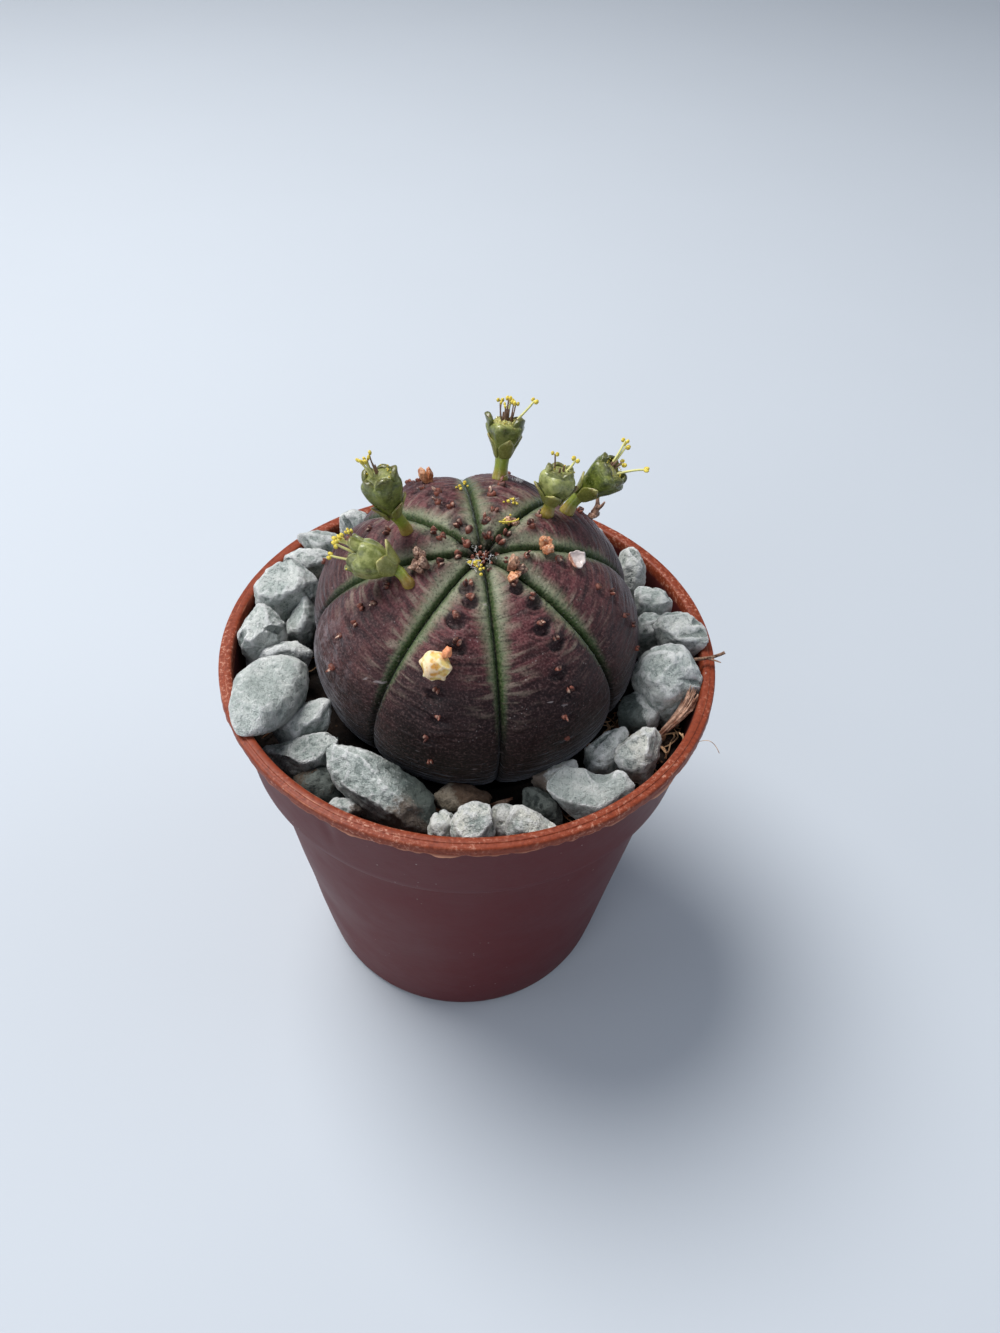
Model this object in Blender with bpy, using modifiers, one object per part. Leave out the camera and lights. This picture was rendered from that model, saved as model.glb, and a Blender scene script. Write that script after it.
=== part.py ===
# A baseball plant in flower, in a small plastic nursery pot dressed with grey gravel.
# Sizes are in millimetres and become metres when a mesh is stored. +Z is up, the front faces -Y,
# and the origin is on the ground under the middle of the pot.

import math
import random

import bmesh
import bpy
from mathutils import Matrix, Vector

MM = 0.001
CLEARANCE = 0.3

# Pot: a 5.5 cm round nursery pot, blown thin, with a rolled lip, a collar and a standing ring
POT_HEIGHT = 50.0
LIP_RADIUS = 27.5
LIP_WIDTH = 1.5
LIP_HEIGHT = 1.2
COLLAR_TOP_RADIUS = 26.65
COLLAR_FOOT_RADIUS = 25.6
COLLAR_FOOT_Z = 39.0
BODY_TOP_RADIUS = 24.25
BODY_TOP_Z = 38.4
BODY_FOOT_RADIUS = 19.45
WALL = 0.8
FLOOR_UNDERSIDE = 1.6
FLOOR_THICKNESS = 0.9
RING_OUTER = 18.7
RING_INNER = 17.5
POT_STEPS = 48
DRAIN_HOLES = 5
DRAIN_HOLE_RADIUS = 2.3
DRAIN_CIRCLE = 11.0
NOTCHES = 4
NOTCH_WIDTH = 3.0
NOTCH_HEIGHT = 0.8

# Soil: its top is a slightly sloping plane, roughened and banked up against the wall at the right
SOIL_LEVEL = 43.2
SOIL_SLOPE = 0.1
SOIL_ROUGHNESS = 0.3
SOIL_BANK_AT = (23.0, -9.0)
SOIL_BANK_HEIGHT = 1.6
SOIL_BANK_WIDTH = 3.2

# Plant: a squat globe with eight grooves, leaning a little towards the front
GLOBE_CENTRE = Vector((0.6, 1.0, 51.1))
GLOBE_RADIUS = 18.15
GLOBE_HALF_HEIGHT = 15.2
LEAN_RIGHT = math.radians(2.2)
LEAN_FRONT = math.radians(14.8)
GROOVES = (-77.5, -29.0, 17.5, 58.2, 101.8, 147.2, 188.2, 235.4)
COLUMN_SHARES = (0.0, 0.04, 0.12, 0.27, 0.5, 0.73, 0.88, 0.96)
GLOBE_RINGS = 20
GROOVE_SLIT_DEPTH = 0.65
GROOVE_SLIT_WIDTH = 0.55
GROOVE_DIP_DEPTH = 0.6
GROOVE_DIP_WIDTH = 2.3
ROOT_RADIUS = 4.0
ROOT_TIP_RADIUS = 1.4
ROOT_LENGTH = 12.0

# Tubercles: for each rib the azimuth of its row near the top and low down, then their latitudes
TUBERCLE_ROWS = (
    (-102, -102, (77, 73, 66, 58, 41, 32, 22, 10)),
    (-40, -56, (75, 68, 60, 53, 44, 35, 26, 15)),
    (5, -10, (76, 65, 49, 42, 33, 25, 16)),
    (44, 47, (83, 79, 70, 64, 40, 33, 25, 17)),
    (85, 84, (84, 78, 73, 64, 56, 39, 31, 23, 15)),
    (128, 121, (81, 77, 69, 64, 59, 51, 40, 32, 24, 16)),
    (159, 168, (84, 76, 72, 56, 47, 38, 29, 20)),
    (200, 214, (82, 76, 57, 51, 46, 41, 33, 21)),
)
TUBERCLE_RADIUS = 0.6
TUBERCLE_HEIGHT = 0.6
TUBERCLE_SIDE_STEP = 1.2

# Dried flower stalks left on the ribs: azimuth, latitude and size
STUBS = (
    (12.0, 68.0, 0.85),
    (-33.0, 78.0, 1.0),
    (-163.0, 70.0, 1.05),
    (120.0, 45.0, 0.8),
    (44.0, 26.0, 0.75),
)
STUB_SIDES = ((0.0, 0.0, 0.45), (0.75, 0.2, 0.95), (-0.55, 0.55, 0.85))

# Flowers: azimuth and latitude of the foot, then the cup's foot and mouth as seen from the flower's foot
CYATHIA = (
    (162.0, 63.0, (-1.2, -0.45, 2.2), (-2.35, -0.8, 6.9), 2.0),
    (-151.0, 64.0, (-1.8, 0.8, 1.6), (-6.1, 1.2, 2.2), 2.1),
    (84.5, 47.0, (0.1, 0.8, 2.0), (0.35, 2.2, 5.4), 2.05),
    (47.0, 59.0, (0.3, 0.2, 1.2), (0.85, 0.65, 4.7), 1.9),
    (45.0, 48.3, (1.2, 0.35, 1.7), (4.3, 0.75, 4.9), 2.1),
)
PEDUNCLE_RADIUS = 0.7
LOBES = 5
LOBE_SIZE = (0.95, 0.55, 1.05)
BRACT_SIZE = (0.85, 0.36, 1.7)
STAMENS = 4
STAMEN_LENGTH = 2.1
STAMEN_RADIUS = 0.26
ANTHER_RADIUS = 0.4

# Remains that lie on the plant: azimuth, latitude and half sizes along, across and off the surface
DRIED_BUD = (-105.5, 49.5, (1.75, 1.8, 1.6))
SEED_HUSK = (5.5, 58.0, (1.0, 0.85, 0.35))
REMAINS_PINCH = 0.22
REMAINS_FLAT = 0.85

# Gravel: the centre of each stone, how thick it is, and how far its outline, seen from the front
# and above, reaches in 8 or 12 directions, from the right round by way of the top
VIEW_RIGHT = Vector((1, 0, 0))
VIEW_UP = Vector((0, 0.725, 0.689))
VIEW_NEAR = Vector((0, -0.689, 0.725))
STONES = {
    "stone_01": ((-15.5, 19.4, 50.5), 3.5, (1.8, 1.6, 1.2, 1.4, 2.0, 2.2, 2.0, 1.8), "pale"),
    "stone_02": ((-19.3, 15.4, 50.2), 3.0, (2.8, 1.6, 1.0, 1.6, 3.2, 1.4, 1.4, 2.0), "pale"),
    "stone_03": ((-20.0, 12.0, 50.0), 3.5, (2.6, 1.6, 1.2, 2.0, 2.4, 1.8, 1.6, 2.0), "pale"),
    "stone_04": ((-21.9, 6.0, 50.6), 5.0, (3.5, 3.2, 3.0, 2.6, 3.2, 3.2, 2.8, 2.6), "pale"),
    "stone_05": ((-23.4, -0.6, 49.6), 4.5, (2.6, 2.4, 2.8, 2.2, 2.2, 2.8, 2.0, 2.0), "pale"),
    "stone_06": ((-19.6, 3.2, 48.4), 3.5, (1.3, 1.8, 2.6, 1.4, 1.3, 2.6, 2.4, 1.6), "pale"),
    "stone_07": ((-20.6, -2.2, 48.6), 3.0, (2.8, 1.6, 1.0, 1.2, 2.4, 1.4, 1.2, 1.4), "pale"),
    "stone_09": ((-17.2, -10.6, 46.6), 4.0, (2.6, 3.2, 1.6, 1.6, 2.9, 2.8, 2.2, 1.6), "pale"),
    "stone_10": ((-16.5, -13.8, 45.6), 4.0, (3.2, 3.8, 1.4, 1.2, 4.2, 3.0, 2.0, 2.2), "pale"),
    "stone_11": ((-14.4, -16.6, 43.8), 3.0, (2.0, 1.6, 1.5, 1.8, 2.4, 1.4, 1.3, 2.4), "dark"),
    "stone_12": ((-11.6, -19.4, 44.0), 2.0, (2.0, 0.9, 0.8, 1.2, 1.8, 1.0, 0.8, 1.5), "brown"),
    "stone_13": (
        (-7.5, -18.0, 45.5), 5.5, (4.8, 3.4, 2.8, 3.0, 4.4, 6.7, 4.6, 3.5, 2.8, 3.0, 4.7, 5.9), "pale"
    ),
    "stone_14": ((0.3, -17.2, 43.9), 3.0, (2.7, 1.6, 1.4, 2.0, 2.4, 2.0, 1.3, 1.6), "brown"),
    "stone_15": ((-1.4, -21.2, 44.4), 2.4, (1.1, 1.5, 1.5, 1.2, 1.3, 1.5, 1.3, 1.5), "pale"),
    "stone_16": ((1.9, -21.6, 45.5), 3.4, (2.1, 2.2, 2.0, 1.9, 2.2, 2.3, 1.8, 2.1), "pale"),
    "stone_17": ((4.7, -19.8, 44.0), 2.6, (1.1, 1.7, 1.4, 1.6, 1.1, 1.0, 1.8, 1.2), "pale"),
    "stone_18": ((7.1, -21.0, 45.2), 3.2, (2.6, 1.4, 1.3, 1.7, 1.7, 2.0, 1.2, 1.3), "pale"),
    "stone_19": ((8.9, -17.6, 43.9), 2.4, (1.8, 1.2, 1.3, 2.2, 1.7, 1.1, 1.2, 2.4), "dark"),
    "stone_20": ((10.1, -14.8, 44.8), 2.6, (2.3, 2.5, 1.2, 1.2, 2.4, 2.0, 1.4, 1.4), "brown"),
    "stone_21": (
        (13.7, -16.7, 46.2), 2.4, (4.0, 3.6, 1.8, 1.4, 1.6, 3.6, 4.2, 3.1, 2.4, 2.5, 2.7, 2.9), "pale"
    ),
    "stone_22": ((15.5, -10.9, 45.2), 3.6, (1.6, 3.0, 1.8, 1.5, 2.2, 2.7, 2.2, 1.8), "pale"),
    "stone_23": ((18.9, -11.9, 46.8), 3.6, (2.0, 2.6, 2.2, 1.9, 2.2, 2.4, 2.4, 1.8), "pale"),
    "stone_24": ((19.3, -5.4, 45.3), 3.6, (2.4, 1.9, 2.1, 2.2, 2.0, 2.3, 1.9, 2.1), "dark"),
    "stone_25": ((21.9, -3.4, 49.6), 5.0, (4.0, 3.6, 3.1, 3.6, 3.7, 3.3, 3.3, 3.4), "pale"),
    "stone_26": ((23.9, 2.7, 50.8), 3.6, (1.9, 1.7, 2.1, 2.7, 2.3, 1.8, 1.9, 2.6), "pale"),
    "stone_27": ((20.8, 5.4, 48.8), 3.0, (2.0, 1.5, 1.5, 1.9, 1.6, 2.0, 1.4, 1.4), "pale"),
    "stone_28": ((21.0, 8.4, 49.6), 3.6, (2.2, 1.6, 1.6, 2.3, 1.9, 2.0, 1.5, 2.2), "pale"),
    "stone_29": ((18.7, 13.6, 50.4), 3.4, (1.4, 1.4, 2.3, 2.2, 1.6, 1.6, 2.4, 2.1), "pale"),
    "stone_30": ((-2.4, 23.0, 53.4), 3.4, (2.4, 1.8, 1.4, 1.8, 2.4, 2.0, 2.0, 2.0), "pale"),
}

# One more stone lies across the lip: the corners of its outline, and how steeply its underside rises
LEANING_STONE = "stone_08"
LEANING_OUTLINE = (
    (-21.9, -15.9, 50.9),
    (-23.6, -13.3, 50.9),
    (-24.0, -10.8, 50.9),
    (-24.1, -8.1, 50.7),
    (-22.6, -5.7, 50.4),
    (-19.7, -4.5, 50.1),
    (-17.5, -5.5, 49.8),
    (-17.0, -8.0, 49.7),
    (-17.3, -10.5, 49.8),
    (-18.2, -12.8, 50.2),
    (-19.7, -15.1, 50.6),
)
LEANING_TOP = (0.75, Vector((0.0, 0.0, 1.3)))
LEANING_FOOT = (0.5, Vector((1.0, 0.6, -3.6)))
LEANING_SLOPE = math.radians(40)

# Gravel that stands behind the plant, where only other views show it: azimuth, radius, height, size
BACK_STONES = {
    "stone_31": (114, 22.3, 48.3, 3.1, "pale"),
    "stone_32": (98, 21.2, 46.6, 2.7, "dark"),
    "stone_33": (82, 22.6, 48.8, 3.0, "pale"),
    "stone_34": (68, 21.7, 48.2, 3.1, "pale"),
    "stone_35": (53, 22.6, 49.0, 3.0, "pale"),
    "stone_36": (154, 19.6, 46.6, 2.3, "brown"),
}
STONE_SEED = 11
STONE_FRONT = 0.45
STONE_BACK = 0.55
STONE_BASE_WIDTH = 0.6
STONE_DROP = 6.5
CHUNK_CORNERS = 16
CORNER_MERGE = 0.12
GOLDEN_TURN = 2.4

# Wood: the points that each piece passes through, with its radius there
BARK_SLIVER = (
    ((21.2, -8.6, 45.3), 0.45),
    ((22.6, -7.8, 46.9), 0.6),
    ((24.2, -6.9, 48.7), 0.75),
    ((24.8, -6.5, 49.6), 0.5),
)
BARK_CHIP = (((3.4, -16.9, 42.4), 0.35), ((4.6, -16.6, 42.7), 0.5), ((5.9, -16.2, 43.1), 0.3))
TWIG = (
    ((24.4, -1.8, 50.9), 0.3),
    ((26.0, -1.6, 50.85), 0.35),
    ((27.2, -1.3, 50.95), 0.3),
    ((28.2, -1.0, 51.5), 0.3),
)


def clear_scene():
    for obj in list(bpy.data.objects):
        bpy.data.objects.remove(obj, do_unlink=True)


def new_collection(name, hidden=False):
    collection = bpy.data.collections.new(name)
    bpy.context.scene.collection.children.link(collection)
    collection.hide_render = hidden
    return collection


def new_material(name, colour, roughness, metallic=0.0):
    material = bpy.data.materials.new(name)
    material.use_nodes = True
    shader = material.node_tree.nodes["Principled BSDF"]
    shader.inputs["Base Color"].default_value = (*colour, 1.0)
    shader.inputs["Roughness"].default_value = roughness
    shader.inputs["Metallic"].default_value = metallic
    return material


def store(name, bm, collection, material=None, smooth_below=35.0):
    """Writes a bmesh in millimetres as an object in metres."""
    bm.transform(Matrix.Scale(MM, 4))
    mesh = bpy.data.meshes.new(name)
    bm.to_mesh(mesh)
    bm.free()
    obj = bpy.data.objects.new(name, mesh)
    collection.objects.link(obj)
    if material:
        mesh.materials.append(material)
    mesh.shade_smooth()
    mesh.set_sharp_from_angle(angle=math.radians(smooth_below))
    return obj


def as_cutter(obj):
    obj.hide_render = True
    obj.display_type = "WIRE"
    return obj


def evaluated_mesh(obj):
    bpy.context.view_layer.update()
    return bpy.data.meshes.new_from_object(obj.evaluated_get(bpy.context.evaluated_depsgraph_get()))


def to_bmesh(obj):
    """The evaluated shape of an object in millimetres, its doubles merged; the object is removed."""
    mesh = evaluated_mesh(obj)
    bm = bmesh.new()
    bm.from_mesh(mesh)
    bm.transform(Matrix.Scale(1 / MM, 4) @ obj.matrix_world)
    bmesh.ops.remove_doubles(bm, verts=bm.verts, dist=0.01)
    bpy.data.objects.remove(obj, do_unlink=True)
    bpy.data.meshes.remove(mesh)
    return bm


def turned(name, profile, collection, material=None, steps=POT_STEPS):
    """A profile of (radius, z) points turned about the Z axis."""
    bm = bmesh.new()
    verts = [bm.verts.new((radius, 0, z)) for radius, z in profile]
    for first, second in zip(verts, verts[1:]):
        bm.edges.new((first, second))
    obj = store(name, bm, collection, material)
    screw = obj.modifiers.new("Turn", "SCREW")
    screw.axis = "Z"
    screw.steps = steps
    screw.render_steps = steps
    screw.use_merge_vertices = True
    screw.merge_threshold = 0.00001
    return obj


def tube(name, points, collection, sides=2):
    """A poly curve through (place, radius) points, as a closed bmesh."""
    curve = bpy.data.curves.new(name, "CURVE")
    curve.dimensions = "3D"
    curve.bevel_depth = MM
    curve.bevel_resolution = sides
    curve.use_fill_caps = True
    spline = curve.splines.new("POLY")
    spline.points.add(len(points) - 1)
    for point, (place, radius) in zip(spline.points, points):
        point.co = (*(Vector(place) * MM), 1)
        point.radius = radius
    obj = bpy.data.objects.new(name, curve)
    collection.objects.link(obj)
    bm = to_bmesh(obj)
    bpy.data.curves.remove(curve)
    return bm


def boolean(obj, operation, other=None, collection=None):
    modifier = obj.modifiers.new(operation.title(), "BOOLEAN")
    modifier.operation = operation
    modifier.solver = "EXACT"
    if collection:
        modifier.operand_type = "COLLECTION"
        modifier.collection = collection
    else:
        modifier.object = other
    return modifier


def fuse(obj, pieces):
    """Joins the pieces of a collection to an object in one union, and removes them."""
    boolean(obj, "UNION", collection=pieces)
    mesh = evaluated_mesh(obj)
    obj.modifiers.clear()
    old = obj.data
    obj.data = mesh
    name = old.name
    bpy.data.meshes.remove(old)
    mesh.name = name
    mesh.set_sharp_from_angle(angle=math.radians(35))
    for piece in list(pieces.objects):
        bpy.data.objects.remove(piece, do_unlink=True)
    bpy.data.collections.remove(pieces)


def facing(normal, twist_towards=(0, 0, 1)):
    """A rotation whose Z axis is the normal."""
    z = Vector(normal).normalized()
    guide = Vector(twist_towards)
    if abs(z.dot(guide.normalized())) > 0.98:
        guide = Vector((1, 0, 0))
    x = guide.cross(z).normalized()
    return Matrix((x, z.cross(x), z)).transposed()


def blob(bm, place, turn, half_sizes):
    """A 20-sided lump."""
    made = bmesh.ops.create_icosphere(bm, subdivisions=1, radius=1.0)
    stretch = Matrix.Diagonal((*half_sizes, 1))
    moved = Matrix.Translation(place) @ turn.to_4x4() @ stretch
    bmesh.ops.transform(bm, matrix=moved, verts=made["verts"])


def cone(bm, place, turn, radius, tip_radius, height, sides):
    made = bmesh.ops.create_cone(
        bm, cap_ends=True, segments=sides, radius1=radius, radius2=tip_radius, depth=height
    )
    bmesh.ops.transform(bm, matrix=Matrix.Translation(place) @ turn.to_4x4(), verts=made["verts"])


# The pot

def inner_wall(z):
    """The radius of the pot's inside at a height."""
    if z >= COLLAR_FOOT_Z:
        share = (z - COLLAR_FOOT_Z) / (POT_HEIGHT - LIP_HEIGHT - COLLAR_FOOT_Z)
        return COLLAR_FOOT_RADIUS + share * (COLLAR_TOP_RADIUS - COLLAR_FOOT_RADIUS) - WALL
    return BODY_FOOT_RADIUS + z / BODY_TOP_Z * (BODY_TOP_RADIUS - BODY_FOOT_RADIUS) - WALL


def make_pot(collection, cutters):
    floor = FLOOR_UNDERSIDE + FLOOR_THICKNESS
    lip_foot = POT_HEIGHT - LIP_HEIGHT
    lip_inner = LIP_RADIUS - LIP_WIDTH
    profile = (
        (0, floor),
        (inner_wall(floor) - 0.5, floor),
        (inner_wall(floor), floor + 0.5),
        (inner_wall(BODY_TOP_Z), BODY_TOP_Z),
        (inner_wall(COLLAR_FOOT_Z), COLLAR_FOOT_Z + CLEARANCE),
        (lip_inner - 0.1, lip_foot),
        (lip_inner, POT_HEIGHT - 0.35),
        (lip_inner + 0.4, POT_HEIGHT),
        (LIP_RADIUS - 0.45, POT_HEIGHT),
        (LIP_RADIUS, POT_HEIGHT - 0.4),
        (LIP_RADIUS - 0.05, lip_foot + 0.15),
        (COLLAR_TOP_RADIUS + 0.2, lip_foot),
        (COLLAR_TOP_RADIUS, lip_foot - 0.4),
        (COLLAR_FOOT_RADIUS, COLLAR_FOOT_Z),
        (BODY_TOP_RADIUS, BODY_TOP_Z),
        (BODY_FOOT_RADIUS + 0.1, 1.2),
        (BODY_FOOT_RADIUS - 0.2, 0.4),
        (RING_OUTER, 0),
        (RING_INNER, 0),
        (RING_INNER - 0.3, FLOOR_UNDERSIDE),
        (0, FLOOR_UNDERSIDE),
    )
    pot = turned("pot", profile, collection, new_material("pot_plastic", (0.30, 0.085, 0.05), 0.42))
    holes = bmesh.new()
    for number in range(DRAIN_HOLES):
        turn = 2 * math.pi * (number + 0.25) / DRAIN_HOLES
        place = Vector((DRAIN_CIRCLE * math.cos(turn), DRAIN_CIRCLE * math.sin(turn), floor))
        cone(holes, place, Matrix.Identity(3), DRAIN_HOLE_RADIUS, DRAIN_HOLE_RADIUS, 6.0, 12)
    boolean(pot, "DIFFERENCE", as_cutter(store("drain_holes", holes, cutters)))
    notches = bmesh.new()
    for number in range(NOTCHES):
        made = bmesh.ops.create_cube(notches, size=1.0)
        size = Matrix.Diagonal((6.0, NOTCH_WIDTH, 2 * NOTCH_HEIGHT, 1))
        swing = Matrix.Rotation(math.pi * (0.25 + number / 2), 4, "Z")
        out = Matrix.Translation((RING_OUTER - 1.0, 0, 0))
        bmesh.ops.transform(notches, matrix=swing @ out @ size, verts=made["verts"])
    boolean(pot, "DIFFERENCE", as_cutter(store("foot_notches", notches, cutters)))
    return pot


# The plant's own frame: Z along its axis, latitude and azimuth as on a globe

def plant_frame():
    z = Vector((math.sin(LEAN_RIGHT), -math.sin(LEAN_FRONT), 0))
    z.z = math.sqrt(1 - z.x**2 - z.y**2)
    x = Vector((0, 1, 0)).cross(z).normalized()
    return Matrix((x, z.cross(x), z)).transposed()


PLANT_TURN = plant_frame()
PLANT_MATRIX = Matrix.Translation(GLOBE_CENTRE) @ PLANT_TURN.to_4x4()


def groove_drop(azimuth, latitude):
    """How far the skin lies under the full globe: a thin slit in a wider dip along each groove."""
    nearest = min(abs((azimuth - groove + 180) % 360 - 180) for groove in GROOVES)
    away = math.radians(nearest) * GLOBE_RADIUS * max(math.cos(math.radians(latitude)), 0)
    fade = min(max((latitude + 62) / 62, 0), 1)
    slit = GROOVE_SLIT_DEPTH * math.exp(-((away / GROOVE_SLIT_WIDTH) ** 2))
    dip = GROOVE_DIP_DEPTH * math.exp(-((away / GROOVE_DIP_WIDTH) ** 2))
    return fade * (slit + dip)


def globe_direction(azimuth, latitude):
    a, b = math.radians(azimuth), math.radians(latitude)
    return Vector((math.cos(b) * math.cos(a), math.cos(b) * math.sin(a), math.sin(b)))


def full_globe(azimuth, latitude):
    """The point and normal on the smooth globe that touches the rib crests, in the plant's frame."""
    unit = globe_direction(azimuth, latitude)
    size = Vector((GLOBE_RADIUS, GLOBE_RADIUS, GLOBE_HALF_HEIGHT))
    point = Vector(u * s for u, s in zip(unit, size))
    normal = Vector(u / s for u, s in zip(unit, size)).normalized()
    return point, normal


def skin(azimuth, latitude):
    point, normal = full_globe(azimuth, latitude)
    return point - normal * groove_drop(azimuth, latitude), normal


def column_azimuths():
    columns = []
    for number, groove in enumerate(GROOVES):
        following = GROOVES[(number + 1) % len(GROOVES)]
        span = (following - groove) % 360
        columns += [groove + share * span for share in COLUMN_SHARES]
    return columns


def make_globe(collection, material):
    columns = column_azimuths()
    bm = bmesh.new()
    bmesh.ops.create_uvsphere(bm, u_segments=len(columns), v_segments=GLOBE_RINGS, radius=1.0)
    for vert in bm.verts:
        latitude = math.degrees(math.asin(max(-1, min(1, vert.co.z))))
        azimuth = 0.0
        if abs(latitude) < 89:
            turn = math.degrees(math.atan2(vert.co.y, vert.co.x)) % 360
            azimuth = columns[round(turn / 360 * len(columns)) % len(columns)]
        vert.co = PLANT_MATRIX @ skin(azimuth, latitude)[0]
    return store("plant", bm, collection, material, smooth_below=45)


def row_places():
    """Azimuth and latitude of every tubercle, each stepped a little to the other side of its crest."""
    for top, low, latitudes in TUBERCLE_ROWS:
        for number, latitude in enumerate(latitudes):
            azimuth = top + (low - top) * (80 - latitude) / 65
            side = TUBERCLE_SIDE_STEP if number % 2 else -TUBERCLE_SIDE_STEP
            yield azimuth + side / max(math.cos(math.radians(latitude)), 0.3), latitude


def add_stub(bm, azimuth, latitude, size):
    point, normal = skin(azimuth, latitude)
    turn = PLANT_TURN @ facing(normal)
    for across, along, off in STUB_SIDES:
        place = PLANT_MATRIX @ point + turn @ Vector((across, along, off)) * size
        blob(bm, place, turn, (0.75 * size, 0.7 * size, 0.95 * size))


def make_plant(collection):
    plant = make_globe(collection, new_material("plant_skin", (0.075, 0.035, 0.035), 0.5))
    pieces = new_collection("plant_pieces")
    for number, (azimuth, latitude) in enumerate(row_places()):
        bm = bmesh.new()
        point, normal = skin(azimuth, latitude)
        cone(bm, PLANT_MATRIX @ point, PLANT_TURN @ facing(normal),
             TUBERCLE_RADIUS, TUBERCLE_RADIUS / 2, 2 * TUBERCLE_HEIGHT, 5)
        store(f"tubercle_{number}", bm, pieces)
    for number, stub in enumerate(STUBS):
        bm = bmesh.new()
        add_stub(bm, *stub)
        store(f"stub_{number}", bm, pieces)
    root = bmesh.new()
    middle = Vector((0, 0, -GLOBE_HALF_HEIGHT - ROOT_LENGTH / 2 + 1.0))
    cone(root, PLANT_MATRIX @ middle, PLANT_TURN, ROOT_TIP_RADIUS, ROOT_RADIUS, ROOT_LENGTH + 2.0, 10)
    store("root", root, pieces)
    fuse(plant, pieces)
    return plant


# The soil

def soil_height(x, y):
    wave = math.sin(0.9 * x + 0.7) * math.sin(1.1 * y) + 0.6 * math.sin(0.43 * x - 0.61 * y)
    bank_x, bank_y = SOIL_BANK_AT
    away = math.hypot(x - bank_x, y - bank_y) / SOIL_BANK_WIDTH
    bank = SOIL_BANK_HEIGHT * math.exp(-(away**2))
    return SOIL_LEVEL + SOIL_SLOPE * y + SOIL_ROUGHNESS * wave / 1.6 + bank


def make_soil(collection, cutters):
    rings = (0, 11.0, 13.5, 15.5, 17.5, 19.5, 21.5, 23.0)
    floor = FLOOR_UNDERSIDE + FLOOR_THICKNESS + CLEARANCE
    edge = inner_wall(SOIL_LEVEL) - CLEARANCE
    profile = [(radius, SOIL_LEVEL) for radius in rings]
    profile += [
        (edge, SOIL_LEVEL),
        (inner_wall(COLLAR_FOOT_Z) - CLEARANCE, COLLAR_FOOT_Z + CLEARANCE + 0.15),
        (inner_wall(BODY_TOP_Z) - CLEARANCE, BODY_TOP_Z + 0.15),
        (inner_wall(floor) - CLEARANCE, floor + 0.6),
        (inner_wall(floor) - CLEARANCE - 0.6, floor),
        (0, floor),
    ]
    turned("soil_blank", profile, collection)
    bm = to_bmesh(bpy.data.objects["soil_blank"])
    for vert in bm.verts:
        if abs(vert.co.z - SOIL_LEVEL) < 0.01:
            vert.co.z = soil_height(vert.co.x, vert.co.y)
            reach = (inner_wall(vert.co.z) - CLEARANCE) / edge
            if math.hypot(vert.co.x, vert.co.y) > rings[-1] + 0.1:
                vert.co.x *= reach
                vert.co.y *= reach
    soil = store("soil", bm, collection, new_material("soil", (0.035, 0.022, 0.014), 0.95))
    room = CLEARANCE + 0.05
    bowl = bmesh.new()
    bmesh.ops.create_uvsphere(bowl, u_segments=32, v_segments=16, radius=1.0)
    sides = Vector((GLOBE_RADIUS + room, GLOBE_RADIUS + room, GLOBE_HALF_HEIGHT + room)) * 1.006
    bowl.transform(PLANT_MATRIX @ Matrix.Diagonal((*sides, 1)))
    boolean(soil, "DIFFERENCE", as_cutter(store("plant_hollow", bowl, cutters)))
    hole = bmesh.new()
    middle = Vector((0, 0, -GLOBE_HALF_HEIGHT - ROOT_LENGTH / 2 + 1.0 - CLEARANCE))
    cone(hole, PLANT_MATRIX @ middle, PLANT_TURN, ROOT_TIP_RADIUS + room, ROOT_RADIUS + room,
         ROOT_LENGTH + 2.0 + CLEARANCE, 14)
    boolean(soil, "DIFFERENCE", as_cutter(store("root_hole", hole, cutters)))
    return soil


# The flowers

def cup_points(foot, cup_foot, cup_mouth, radius):
    """A short stalk that widens into a goblet, with a filled mouth."""
    along = cup_mouth - cup_foot
    return (
        (foot, PEDUNCLE_RADIUS * 0.9),
        (foot.lerp(cup_foot, 0.55), PEDUNCLE_RADIUS),
        (cup_foot, PEDUNCLE_RADIUS * 1.15),
        (cup_foot + along * 0.3, radius * 0.66),
        (cup_foot + along * 0.65, radius * 0.95),
        (cup_foot + along * 0.88, radius),
        (cup_mouth, radius * 0.62),
    )


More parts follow.
